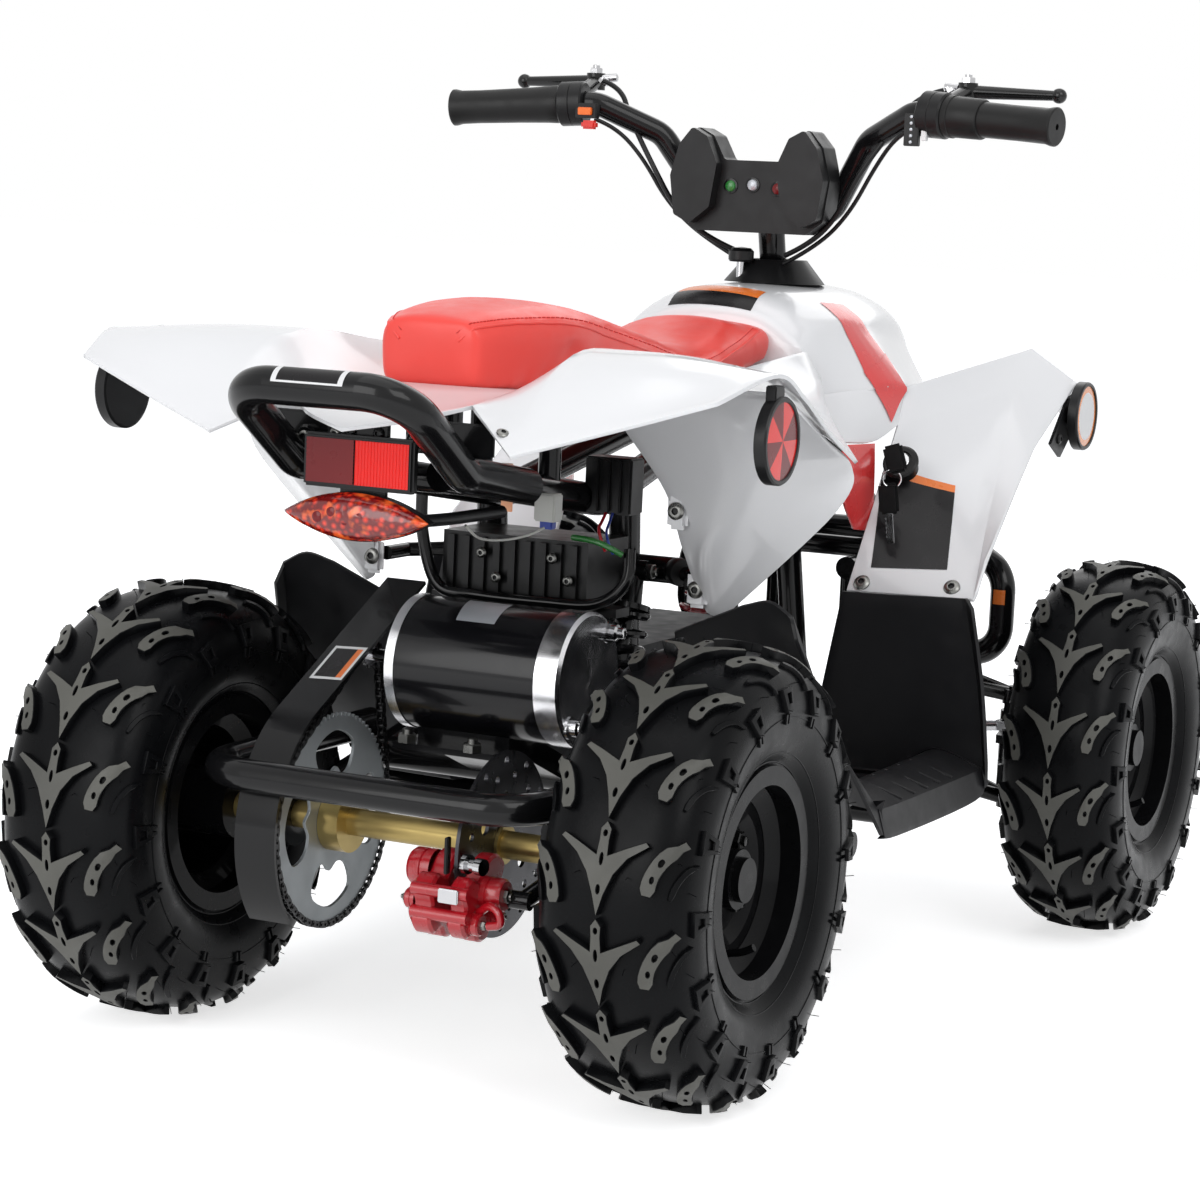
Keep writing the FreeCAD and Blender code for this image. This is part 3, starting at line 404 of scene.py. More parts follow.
def add_slab(bm, outline, holes, lift, height, foot=0.0, index=0, side_index=None, round_off=0.0005,
             through=False):
    """A flat block with blind or through holes, its loops in 2D metres; lift(u, v, h) places a point."""
    side_index = index if side_index is None else side_index

    def inset(loop, distance):
        area = sum(a[0] * b[1] - b[0] * a[1] for a, b in zip(loop, loop[1:] + loop[:1]))
        sign = 1.0 if area > 0 else -1.0
        moved = []
        for a, b, c in zip(loop[-1:] + loop[:-1], loop, loop[1:] + loop[:1]):
            first = (Vector(b) - Vector(a)).normalized()
            second = (Vector(c) - Vector(b)).normalized()
            normal = Vector((-first.y - second.y, first.x + second.x)) * sign
            moved.append(Vector(b) + normal.normalized() * distance)
        return moved

    loops = [(inset(outline, round_off), list(outline))] + [(inset(h, -round_off), list(h)) for h in holes]
    flat = []
    edges = []
    for top, _ in loops:
        start = len(flat)
        flat += [Vector(p) for p in top]
        edges += [(start + i, start + (i + 1) % len(top)) for i in range(len(top))]
    verts, _, faces, _, _, _ = delaunay_2d_cdt(flat, edges, [], 2 if holes else 1, 1e-9)
    inside = []
    for face in faces:
        middle = sum((verts[i] for i in face), Vector((0, 0))) / len(face)
        if not any(point_in(middle, top) for top, _ in loops[1:]):
            inside.append(face)
    top_verts = [bm.verts.new(lift(v.x, v.y, height)) for v in verts]
    for face in inside:
        bm.faces.new([top_verts[i] for i in face]).material_index = index
    start = 0
    for number, (top, full) in enumerate(loops):
        crown = top_verts[start:start + len(top)]
        start += len(top)
        edge = [bm.verts.new(lift(p[0], p[1], height - round_off)) for p in full]
        low = height * 0.45 if number and not through else foot
        base = [bm.verts.new(lift(p[0], p[1], low)) for p in full]
        for upper, lower in ((crown, edge), (edge, base)):
            for i in range(len(upper)):
                k = (i + 1) % len(upper)
                bm.faces.new([upper[i], lower[i], lower[k], upper[k]]).material_index = side_index
        if number and not through:
            bm.faces.new(base).material_index = side_index


def point_in(point, loop):
    """Whether a 2D point lies inside a closed loop."""
    inside = False
    for a, b in zip(loop, loop[1:] + loop[:1]):
        if (a[1] > point[1]) != (b[1] > point[1]):
            if point[0] < a[0] + (b[0] - a[0]) * (point[1] - a[1]) / (b[1] - a[1]):
                inside = not inside
    return inside


def oval(u, v, half_u, half_v, turn=0.0):
    ring = [(half_u * cos(a), half_v * sin(a)) for a in angles(10)]
    return [(u + x * cos(turn) - y * sin(turn), v + x * sin(turn) + y * cos(turn)) for x, y in ring]


def add_box(bm, low, high, index=0, soften=0.8):
    """A block between two corners in mm, with its edges eased."""
    block = bmesh.new()
    bmesh.ops.create_cube(block, size=1.0)
    low, high = at(*low), at(*high)
    for vert in block.verts:
        vert.co = Vector(((low + high)[i] / 2 + vert.co[i] * (high - low)[i] for i in range(3)))
    bmesh.ops.bevel(block, geom=block.edges[:], offset=soften * 0.001, segments=2, affect="EDGES")
    for face in block.faces:
        face.material_index = index
    merge(bm, block)


def merge(bm, other):
    mesh = bpy.data.meshes.new("joint")
    other.to_mesh(mesh)
    other.free()
    bm.from_mesh(mesh)
    bpy.data.meshes.remove(mesh)


def mirror_in(bm):
    """Add the same shapes on the other side of the X = 0 plane."""
    copied = bmesh.ops.duplicate(bm, geom=bm.verts[:] + bm.edges[:] + bm.faces[:])["geom"]
    for vert in (g for g in copied if isinstance(g, bmesh.types.BMVert)):
        vert.co.x = -vert.co.x
    bmesh.ops.reverse_faces(bm, faces=[g for g in copied if isinstance(g, bmesh.types.BMFace)])


def add_bolt(bm, place, axis, radius, height, index=0, socket=1):
    """A button head with a round-cornered socket; place in mm is the foot of the head."""
    r, h = radius, height
    head = [(0, r), (h * 0.45, r), (h * 0.8, r * 0.82), (h, r * 0.5), (h * 0.98, r * 0.42)]
    add_lathe(bm, head, place, axis, 20, index)
    # The socket's finish is given by its index; in most pieces it is the painted shade of the recess.
    add_lathe(bm, [(h * 0.98, r * 0.42), (h * 0.5, r * 0.36), (h * 0.5, 0)], place, axis, 6, socket)


def add_nut(bm, place, axis, radius, height, index=0):
    """A six-sided nut with a short end of thread; place in mm is its foot."""
    r, h = radius, height
    add_lathe(bm, [(0, r), (h * 0.85, r), (h, r * 0.86), (h, 0)], place, axis, 6, index)
    add_lathe(bm, [(h, r * 0.52), (h * 1.5, r * 0.52), (h * 1.6, r * 0.4), (h * 1.6, 0)], place, axis,
              14, index)


# Tyres

HUB_BOLT_RADIUS = 34
TREAD_PITCHES = 16
RIM_SEAT = 76.5
RIM_FLANGE = 87.9


def tyre_line(width, rim_width):
    """The tyre's outer line from crown to bead as (x, radius) points in mm, dense and smooth."""
    half = width / 2
    bead = rim_width / 2 - 3.3
    falls = ((0, 0), (0.28, 0.3), (0.54, 2.2), (0.76, 7.5), (0.91, 17), (0.985, 31), (1, 45), (0.965, 60),
             (0.88, 72))
    line = [(half * share, TYRE_RADIUS - LUG_HEIGHT - fall) for share, fall in falls]
    return curve_points(line + [(bead + 1.5, RIM_FLANGE + 3.5), (bead, RIM_FLANGE)], 6)


def offset_line(centre, half_width):
    """A closed outline round a bent centre line, with tapered ends."""
    pts = curve_points(centre, 3)
    left, right = [], []
    for i, p in enumerate(pts):
        along = (pts[min(i + 1, len(pts) - 1)] - pts[max(i - 1, 0)]).normalized()
        share = i / (len(pts) - 1)
        width = half_width * (0.6 if i == 0 else 1.0)
        if share > 0.85:
            width = half_width * (0.55 + 0.45 * sin(pi * min(1.0, 0.15 + share)) ** 0.5)
        out = Vector((-along.y, along.x)) * width
        left.append(p + out)
        right.append(p - out)
    return [tuple(p) for p in left + right[::-1]]


def tread_blocks(half, pitch):
    """Blocks of one pitch of the tread: (outline, holes, height, worn top) in mm, across and along."""
    h = pitch / 2
    wing, neck = half * 0.5, 3.9

    def scaled(points):
        return [(half * u, h * v) for u, v in points]

    head = [(0, 0.98), (0.15, 0.52), (0.34, 0.08), (0.62, -0.28), (1.06, -0.6), (0.98, -0.69), (0.55, -0.5)]
    half_arrow = [(wing * u, h * v) for u, v in head] + [(neck + 0.4, -h * 0.3), (neck, -h * 0.62),
                                                         (neck * 1.1, -h * 0.86), (0, -h * 1.02)]
    arrow = half_arrow + [(-u, v) for u, v in half_arrow[-2:0:-1]]
    holes = [oval(0, h * 0.42, 1.3, 3.2), oval(0, -h * 0.22, 1.1, 4.2), oval(0, -h * 0.76, 1.3, 2.0)]
    blade = offset_line(scaled([(0.55, 0.86), (0.59, 0.42), (0.70, 0), (0.90, -0.38)]), half * 0.085)
    slots = [oval(half * 0.595, h * 0.5, 1.2, 2.4, 0.1), oval(half * 0.67, h * 0.12, 1.5, 2.8, 0.35)]
    rib = offset_line(scaled([(0.80, 0.92), (0.86, 0.55), (0.97, 0.22), (1.12, 0.04)]), half * 0.032)
    shoulder = scaled([(1.10, -0.22), (1.09, -0.86), (1.36, -0.80), (1.38, -0.40)])
    window = scaled([(1.16, -0.42), (1.155, -0.70), (1.27, -0.67), (1.28, -0.47)])
    found = [(blade, slots, 6.2, True), (rib, [], 3.2, False), (shoulder, [window], 4.4, False)]
    for s in (0.44, 0.66):
        ridge = scaled([(1.40, -s), (1.40, -(s + 0.13)), (1.52, -(s + 0.11)), (1.52, -(s + 0.01))])
        found.append((ridge, [], 2.4, False))
    blocks = [(arrow, holes, LUG_HEIGHT, True)]
    for side, shift in ((1, 0.0), (-1, -h * 0.42)):
        for outline, gaps, height, worn in found:
            loops = [[(side * u, v + shift) for u, v in loop] for loop in (outline, *gaps)]
            blocks.append((loops[0], loops[1:], height, worn))
    return blocks


def build_tyre(name, node, body, centre, width, rim_width):
    """A carcass with ringed sidewalls and 16 pitches of arrow lugs, blades and shoulder blocks."""
    bm = bmesh.new()
    line = tyre_line(width, rim_width)
    bead = [Vector((line[-1].x, RIM_SEAT))]
    section = [Vector((-p.x, p.y)) for p in reversed(line + bead)] + (line + bead)[1:]
    turns = 112
    rings = [[Vector((p.x, p.y * sin(a), p.y * cos(a))) * 0.001 + centre for p in section]
             for a in angles(turns) + [2 * pi]]
    add_grid(bm, [list(row) for row in zip(*rings)])
    lengths = run_lengths(line)

    def lift_at(angle):
        def lift(u, v, h):
            reach = abs(u) * 1000
            i = max(k for k in range(len(lengths) - 1) if lengths[k] <= reach or k == 0)
            run = line[i + 1] - line[i]
            p = line[i] + run * ((reach - lengths[i]) / run.length)
            out = Vector((-run.y, run.x)).normalized()
            sign = 1 if u >= 0 else -1
            x = sign * (p.x + out.x * h * 1000)
            radius = p.y + out.y * h * 1000
            turn = angle + v * 1000 / line[0].y
            return Vector((x, radius * sin(turn), radius * cos(turn))) * 0.001 + centre
        return lift

    pitch = 2 * pi * line[0].y / TREAD_PITCHES
    blocks = tread_blocks(width / 2, pitch * 0.97)
    for angle in angles(TREAD_PITCHES):
        lift = lift_at(angle + pi / TREAD_PITCHES)
        for outline, gaps, height, worn in blocks:
            flat = [(u * 0.001, v * 0.001) for u, v in outline]
            holes = [[(u * 0.001, v * 0.001) for u, v in gap] for gap in gaps]
            add_slab(bm, flat, holes, lift, height * 0.001, -0.001, 1 if worn else 0, 0)
        for u, v in ((0.30, 0.1), (0.86, -0.35), (1.05, 0.3), (1.34, -0.9)):
            for sign in (1, -1):
                foot = lift(sign * u * width / 2000, v * pitch / 2000, 0.0)
                tip = lift(sign * (u * width / 2000 + 0.001), (v * pitch / 2 + 1.5) / 1000, 0.0065)
                add_tube(bm, [foot, tip], 0.0003, 4)
    for share, rise in ((0.60, 0.0007), (0.80, 0.0005), (0.93, 0.0007)):
        p = line[int(share * (len(line) - 1))]
        for sign in (1, -1):
            ring = [Vector((sign * p.x, p.y * sin(a), p.y * cos(a))) * 0.001 + centre for a in angles(96)]
            add_tube(bm, ring, rise, 5, closed=True)
    add_piece(name, bm, ["tyre", "tread_top"], body, [node], 40)


for tag, sign in (("left", 1), ("right", -1)):
    build_tyre(f"dressed_rear_tyre_{tag}", f"rear_tyre_{tag}", "rear_axle",
               at(sign * REAR_WHEEL_X, 0, AXLE_Z), 125.0, 101.0)
    build_tyre(f"dressed_front_tyre_{tag}", f"front_tyre_{tag}", f"front_wheel_{tag}",
               at(sign * FRONT_WHEEL_X, FRONT_AXLE_Y, AXLE_Z), 112.0, 88.0)


def build_wheel_fittings():
    """Four nuts round each hub and a valve stem in each rim."""
    for tag, sign in (("left", 1), ("right", -1)):
        for name, x, y, half_rim, body in (
                ("rear", REAR_WHEEL_X, 0, 50.5, "rear_axle"),
                ("front", FRONT_WHEEL_X, FRONT_AXLE_Y, 44.0, f"front_wheel_{tag}")):
            bm = bmesh.new()
            face = x + half_rim - 34
            for k in range(4):
                nut = turned(sign * face, y, AXLE_Z, HUB_BOLT_RADIUS, radians(45 + 90 * k))
                add_nut(bm, nut, (sign, 0, 0), 7.5, 6)
            stem = [at(sign * (face + out), y, AXLE_Z - low) for out, low in ((6, 58), (20, 55), (30, 50))]
            add_tube(bm, curve_points(stem, 4), 0.003, 12, 1)
            add_piece(f"{name}_wheel_fittings_{tag}", bm, ["black_lever", "tyre"], body)


build_wheel_fittings()


# Body panels

def cut_sheet(piece, thickness=0.003, edge=0.0007):
    """Give a piece made as a single sheet its wall, inward of its faces, and eased edges."""
    set_all(piece.modifiers.new("wall", "SOLIDIFY"), thickness=thickness, offset=-1.0, use_even_offset=True,
            thickness_clamp=0.0)
    set_all(piece.modifiers.new("edge", "BEVEL"), width=edge, segments=2, limit_method="ANGLE",
            angle_limit=radians(60))
    return piece


def to_frame(rows, side=1):
    return [[at(side * x, y, z) for x, y, z in row] for row in rows]


def add_sheets(bm, rows, steps=8, creases=(), bends=(), index=0):
    """The same smooth sheet, given in mm, on both sides of the bike."""
    for side in (1, -1):
        facing = side * rows[0][-1][0] > 0
        add_grid(bm, smooth_grid(to_frame(rows, side), steps, creases, bends), index, flip=facing)


DECK_X = 84.0
COWL_BACK_Y = FRONT_AXLE_Y + 273
DECK_SIDE = [
    [(75, 92, 522), (128, 131, 491), (200, 112, 514), (271, 93, 538)],
    [(DECK_X, 30, 530.8), (125, 30, 561), (205, 35, 562), (290, 28, 557)],
    [(DECK_X, -118, 523.8), (125, -118, 553), (200, -95, 551), (291, -24, 538)],
    [(DECK_X, -312, 531), (114, -312, 529), (170, -250, 515), (292, -75, 510)],
    [(96, COWL_BACK_Y + 3, 548), (112, COWL_BACK_Y + 3, 525), (150, -420, 498), (292, -131, 485)],
]
TROUGH = [
    [(-75, 92, 522), (-45, 128, 512), (0, 152, 503), (45, 128, 512), (75, 92, 522)],
    [(-DECK_X, 30, 530.8), (-42, 30, 530.8), (0, 30, 530.8), (42, 30, 530.8), (DECK_X, 30, 530.8)],
    [(-DECK_X, -118, 523.8), (-42, -118, 523.8), (0, -118, 523.8), (42, -118, 523.8), (DECK_X, -118, 523.8)],
]


def build_rear_fender():
    bm = bmesh.new()
    add_sheets(bm, DECK_SIDE, creases=(1,))
    add_grid(bm, smooth_grid(to_frame(TROUGH), 6, (2,), (1,)), flip=True)
    weld(bm)
    cut_sheet(add_piece("rear_fender_shell", bm, ["white_panel"], replaces=["rear_fender"], angle=32))
    bm = bmesh.new()
    add_box(bm, (-20, 114.7, 428), (20, 117.7, 508))
    for x, z in ((-12, 498), (12, 498)):
        add_bolt(bm, (x, 117.7, z), (0, 1, 0), 4.5, 3)
    add_piece("lamp_hanger", bm, ["black_frame"])


build_rear_fender()

ARCH = [
    [(-112, -88, 503), (-175, -50, 530), (-230, -15, 540), (-288, 10, 542.5)],
    [(-138, -117, 452), (-215, -75, 490), (-250, -84, 497), (-280, -90, 505)],
    [(-144, -140, 408), (-196, -104, 440), (-246, -128, 467), (-277, -155, 479)],
    [(-150, -160, 372), (-178, -120, 410), (-222, -146, 425), (-264, -163, 444)],
    [(-155, -170, 352), (-159, -172, 350), (-162, -173, 348), (-166, -175, 348)],
]


def build_arches():
    bm = bmesh.new()
    add_sheets(bm, ARCH)
    weld(bm)
    cut_sheet(add_piece("arch_shells", bm, ["white_panel"], replaces=["arch_panels"], angle=40))
    bm = bmesh.new()
    for x, y, z in ((-148, -120, 435.5), (-150, -160, 369.5)):
        add_box(bm, (x - 9, y - 3, z - 15), (x + 9, y + 5, z + 15), 0, 3.5)
        add_bolt(bm, (x, y + 5, z), (0, 1, 0), 7, 3.2, 1, 2)
    mirror_in(bm)
    add_piece("arch_tabs", bm, ["white_panel", "bolt_steel", "dark_hole"])


build_arches()

TRAY_FRONT_Y = FRONT_AXLE_Y + 280
FRONT_FENDER = [
    [(-150, TRAY_FRONT_Y + 3, 338), (-266, TRAY_FRONT_Y - 7, 340), (-268, TRAY_FRONT_Y - 25, 373)],
    [(-157, FRONT_AXLE_Y + 195, 482), (-220, FRONT_AXLE_Y + 70, 513), (-262, FRONT_AXLE_Y + 115, 466)],
    [(-151, FRONT_AXLE_Y + 165, 516), (-214, FRONT_AXLE_Y - 2, 551), (-262, FRONT_AXLE_Y, 521)],
    [(-120, FRONT_AXLE_Y - 95, 470), (-190, FRONT_AXLE_Y - 115, 500), (-240, FRONT_AXLE_Y - 105, 470)],
]


def build_front_fenders():
    bm = bmesh.new()
    add_sheets(bm, FRONT_FENDER, 8, (1,), (1, 2))
    weld(bm)
    fenders = add_piece("front_fender_shells", bm, ["white_panel"], replaces=["front_fenders"], angle=32)
    return cut_sheet(fenders)


front_fenders = build_front_fenders()

COWL_ROWS = [(COWL_BACK_Y, 100, 505, 92, 583), (COWL_BACK_Y - 32, 118, 508, 98, 598),
             (FRONT_AXLE_Y + 165, 150.5, 516.6, 112, 603),
             (FRONT_AXLE_Y + 45, 134, 495, 102, 600), (FRONT_AXLE_Y - 35, 122, 462, 86, 560),
             (FRONT_AXLE_Y - 85, 108, 445, 72, 512)]


def build_cowl():
    """The tank cover and nose, as one smooth shell with a rounded front."""
    rows = []
    for y, foot, low, half, top in COWL_ROWS:
        mid = (low + top) / 2
        rows.append([(-foot, y, low), (-half, y, mid), (-half * 0.85, y, top - 24), (-half * 0.5, y, top - 5),
                     (0, y, top), (half * 0.5, y, top - 5), (half * 0.85, y, top - 24), (half, y, mid),
                     (foot, y, low)])
    grid = smooth_grid(to_frame(rows), 8)
    front = grid[-1]
    middle = sum(front, Vector()) / len(front)
    for share in (0.8, 0.4, 0.0):
        grid.append([middle + (p - middle) * share for p in front])
    nose = at(0, COWL_BACK_Y, 552)
    rim = grid[0]
    for share, bulge in ((0.93, 0.0025), (0.8, 0.005), (0.5, 0.006), (0.2, 0.006)):
        grid.insert(0, [nose.lerp(p, share) + Vector((0, bulge, 0)) for p in rim])
    bm = bmesh.new()
    add_grid(bm, grid, flip=True)
    weld(bm)
    cowl = add_piece("cowl_shell", bm, ["white_panel"], replaces=["front_cowl"], angle=40)
    return cut_sheet(cowl)


cowl = build_cowl()


# Foot trays

TRAY_ROWS = [
    [(-128, -168, 333), (-190, -160, 361), (-215, -156, 367), (-236, -153, 357), (-243, -150, 338)],
    [(-122, -215, 250), (-190, -212, 252), (-226, -208, 253), (-258, -205, 254), (-264, -203, 248)],
    [(-120, -254, 178), (-198, -253, 180), (-236, -252, 196), (-278, -250, 194), (-285, -249, 172)],
    [(-120, -274, 167), (-204, -276, 168), (-236, -276, 202), (-281, -274, 191), (-288, -274, 167)],
    [(-120, -465, 168), (-204, -465, 170), (-238, -463, 203), (-283, -462, 190), (-290, -462, 167)],
    [(-120, -482, 178), (-204, -484, 180), (-240, -486, 205), (-286, -488, 193), (-291, -482, 184)],
    [(-134, -481, 262), (-198, -484, 262), (-238, -485, 263), (-277, -486, 264), (-283, -479, 262)],
    [(-148, -478, 337), (-190, -480, 338), (-232, -481, 340), (-262, -483, 341), (-270, -477, 333)],
]


def build_trays():
    """Moulded foot trays: a round-topped heel wall, a ledge with ribs, a skirt and a splash wall."""
    bm = bmesh.new()
    add_grid(bm, smooth_grid(to_frame(TRAY_ROWS), 6, (1, 3), (2, 5)))
    mirror_in(bm)
    trays = add_piece("tray_shells", bm, ["tray_plastic"], replaces=["foot_trays"], angle=30)
    cut_sheet(trays, edge=0.0008)
    bm = bmesh.new()
    for y in (-305, -335, -365, -395, -425):
        add_tube(bm, [at(-240, y, 202.6), at(-260, y - 1, 197.6), at(-279, y - 2, 191.6)], 0.0016, 8)
    for y in range(-452, -280, 16):
        add_tube(bm, [at(-132, y, 168.6), at(-196, y, 169.6)], 0.0015, 8)
    mirror_in(bm)
    add_piece("tray_ribs", bm, ["tray_plastic"])


build_trays()


# Seat

SEAT_SHRINK = 3.0
CLOTH_PRESSURE = 4.0
CLOTH_LIMIT = 0.006
CLOTH_FRAMES = 20
SEAT_ROWS = [(28, 45, 531, 586), (-18, 63, 528.8, 590), (-95, 77, 525.4, 587), (-220, 78, 519.2, 566),
             (-330, 76, 514.2, 549), (-410, 73, 526, 562), (-468, 68, 538, 577), (-491.6, 64, 545, 573)]


def seat_section(y, half, low, high):
    """One section of the seat, inside its cover: flat below, drawn-in sides and a crowned top."""
    half, low, high = half - SEAT_SHRINK, low + SEAT_SHRINK, high - SEAT_SHRINK
    tall = high - low
    side = [(half * 0.97, low), (half * 0.985, low + tall * 0.35), (half, low + tall * 0.7),
            (half * 0.93, high - tall * 0.08), (half * 0.7, high + 1.0), (half * 0.35, high + 3.0)]
    right = [at(x, y, z) for x, z in side]
    left = [at(-x, y, z) for x, z in side[::-1]]
    return right + [at(0, y, high + 3.6)] + left + [at(0, y, low)]


def settle_cloth(piece):
    """Blow the piece up as sewn cloth, within the limit, and keep the result without the simulation."""
    before = [v.co.copy() for v in piece.data.vertices]
    cloth = piece.modifiers.new("cloth", "CLOTH")
    set_all(cloth.settings, quality=6, mass=0.3, use_pressure=True, uniform_pressure_force=CLOTH_PRESSURE,
            tension_stiffness=25, compression_stiffness=25, bending_stiffness=4)
    cloth.settings.effector_weights.gravity = 0
    cloth.collision_settings.use_collision = False
    scene = bpy.context.scene
    for step in range(1, CLOTH_FRAMES + 1):
        scene.frame_set(step)
    result = piece.evaluated_get(bpy.context.evaluated_depsgraph_get()).data
    after = [v.co.copy() for v in result.vertices]
    piece.modifiers.clear()
    scene.frame_set(1)
    for vert, old, new in zip(piece.data.vertices, before, after):
        move = new - old
        vert.co = old + move * min(1.0, CLOTH_LIMIT / max(move.length, 1e-9))


def apply_modifier(piece, kind, **values):
    modifier = piece.modifiers.new("step", kind)
    set_all(modifier, **values)
    bpy.ops.object.modifier_apply(modifier=modifier.name)


def build_seat():
    sections = [seat_section(*row) for row in SEAT_ROWS]
    columns = [curve_points(column, 8) for column in zip(*sections)]
    rows = [list(row) for row in zip(*columns)]
    bm = bmesh.new()
    rings = add_grid(bm, rows, closed=True)
    cap_ring(bm, rings[0])
    cap_ring(bm, rings[-1], flip=True)
    face_out(bm)
    mesh = bpy.data.meshes.new("seat_cover")
    bm.to_mesh(mesh)
    bm.free()
    seat = add_object("seat_cover", mesh)
    bpy.context.view_layer.objects.active = seat
    seat.select_set(True)
    apply_modifier(seat, "REMESH", mode="VOXEL", voxel_size=0.0055)
    settle_cloth(seat)
    apply_modifier(seat, "SMOOTH", factor=0.5, iterations=3)
    apply_modifier(seat, "SUBSURF", levels=1, render_levels=1)
    seat.data.shade_smooth()
    seat.data.materials.append(MATERIALS["seat_vinyl"])
    seat.select_set(False)
    enter(seat, "chassis", "seat_vinyl", "seat")
    return seat


seat = build_seat()


def tree_of(*pieces):
    """A search tree over the shown surfaces of pieces, in the frame's metres."""
    graph = bpy.context.evaluated_depsgraph_get()
    verts, faces = [], []
    for piece in pieces:
        shown = piece.evaluated_get(graph)
        mesh = shown.to_mesh()
        start = len(verts)
        verts += [piece.matrix_world @ v.co for v in mesh.vertices]
        faces += [[start + i for i in face.vertices] for face in mesh.polygons]
        shown.to_mesh_clear()
    return BVHTree.FromPolygons(verts, faces)


def build_seat_seam():
    """A welt round the top edge of the seat with a row of stitches inside it."""
    surface_tree = tree_of(seat)
    bm = bmesh.new()
    for sign in (1, -1):
        line = []
        for y, half, _, high in SEAT_ROWS[:-1]:
            line.append(at(sign * (half + 12), y, high + 8))
        seam = []
        stitches = []
        inward = Vector((-sign * 1.0, 0, -0.95))
        for point in curve_points(line, 14):
            hit, normal, _, _ = surface_tree.ray_cast(point, inward)
            if hit is None:
                continue
            seam.append(hit + normal * 0.0002)
            hit, normal, _, _ = surface_tree.ray_cast(point - Vector((sign * 0.006, 0, -0.002)), inward)
            if hit is not None:
                stitches.append(hit + normal * 0.0003)
        add_tube(bm, seam, 0.0011, 8)
        dense = curve_points(stitches, 3)
        for i in range(0, len(dense) - 3, 3):
            add_tube(bm, dense[i:i + 3], 0.00045, 5, 1)
    add_piece("seat_seam", bm, ["seat_vinyl", "thread_red"])


build_seat_seam()


# Side skirts between the tank cover and the front fenders

def build_side_skirts():
    bm = bmesh.new()
    white = [[(-100, COWL_BACK_Y + 2, 507), (-125, -540, 512), (-150, -600, 517)],
             [(-120, -490, 487), (-140, -538, 490), (-153, -596, 499)],
             [(-136, -489, 468), (-147, -532, 468), (-155, -571, 481)]]
    red = [[(-138, -484, 467), (-149, -530, 467)], [(-141, -470, 445), (-151, -528, 440)],
           [(-142, -480, 417), (-151, -530, 405)], [(-143, -505, 391), (-150, -530, 388)]]
    add_sheets(bm, white, 6)
    add_sheets(bm, red, 6, index=1)
    skirts = add_piece("side_skirts", bm, ["white_panel", "decal_red"], angle=40)
    return cut_sheet(skirts, 0.0025, 0.0004)


skirts = build_side_skirts()


# Labels, left blank, and the tank's stripe

def lay_patch(name, bands, corners, direction, targets, border=0, lift=0.0004, columns=14):
    """A thin sheet between four corners (mm), pressed on a surface, in bands of (share, finish)."""
    tree = tree_of(*targets)
    finishes = [finish for _, finish in bands] + ["label_white"] * border
    first, second, third, fourth = (at(*corner) for corner in corners)
    rows = 12
    bm = bmesh.new()
    along = Vector(direction).normalized()
    grid = []
    for i in range(rows + 1):
        line = []
        for j in range(columns + 1):
            u, v = j / columns, i / rows
            point = first.lerp(second, u).lerp(fourth.lerp(third, u), v)
            hit, normal, _, _ = tree.ray_cast(point - along * 0.04, along, 0.12)
            if hit is None:
                line.append(point)
            else:
                line.append(hit + normal * (-lift if normal.dot(along) > 0 else lift))
        grid.append([bm.verts.new(p) for p in line])
    for i in range(rows):
        for j in range(columns):
            face = bm.faces.new([grid[i][j], grid[i + 1][j], grid[i + 1][j + 1], grid[i][j + 1]])
            share = (i + 0.5) / rows
            finish = [f for limit, f in bands if share <= limit][0]
            if border and (i in (0, rows - 1) or j in (0, columns - 1)):
                finish = "label_white"
            face.material_index = finishes.index(finish)
    face_out(bm)
    add_piece(name, bm, finishes)


def build_labels():
    for name, target, direction, share, ground, border, corners in (
            ("guard_label", nodes["chain_guard"], (0, -0.47, -0.88), 0.26, "label_black", 1,
             [(75.5, -27, 312.9), (75.5, 13, 291.6), (104, 15, 290.6), (104, -25, 311.8)]),
            ("grab_bar_label", nodes["grab_bar"], (0, -0.75, -0.65), 0, "label_black", 1,
             [(31, 190, 549), (-29, 190, 549), (-29, 201, 537), (31, 201, 537)]),
            ("tank_label", cowl, (0, -0.3, -1), 0.5, "label_black", 0,
             [(50, -548, 600), (-36, -530, 600), (-38, -490, 590), (46, -494, 590)]),
            ("fender_label", front_fenders, (0, -0.75, -0.6), 0.12, "label_black", 0,
             [(-152.5, -573, 429), (-211.8, -580.8, 430.2), (-233, -512.1, 361.5), (-166.3, -497.6, 358.3)]),
            ("bumper_label", nodes["front_bumper"], (0, -1, 0), 0.3, "label_black", 0,
             [(-166, -830, 306), (-178, -828, 306), (-178, -828, 262), (-166, -830, 262)]),
            ("motor_label", nodes["motor_can"], (0, -0.5, -0.87), 0, "label_silver", 0,
             [(-4, -47, 358), (-42, -47, 358), (-42, -18, 345), (-8, -18, 345)])):
        bands = [(share, "label_orange")] * bool(share) + [(1.0, ground)]
        lay_patch(name, bands, corners, direction, [target], border)
    for side, tag in ((1, "left"), (-1, "right")):
        for part, direction, lift, columns, corners in (
                ("upper", (-0.8, 0, -0.6), 0.0007, 18,
                 [(76, -567, 590), (84, -604, 588), (131, -606, 540), (128, -556, 524)]),
                ("lower", (-1, 0, -0.1), 0.0013, 14,
                 [(126, -555.5, 529), (130, -606.6, 545), (151, -597, 512), (148, -562, 484)])):
            sided = [(side * x, y, z) for x, y, z in corners]
            inward = (side * direction[0], *direction[1:])
            lay_patch(f"tank_stripe_{part}_{tag}", [(1.0, "decal_red")], sided, inward, [cowl, skirts],
                      lift=lift, columns=columns)


build_labels()


# Drive: chain, motor, brake

CHAIN_PITCH = 6.35
REAR_TEETH = 84
MOTOR_TEETH = 11


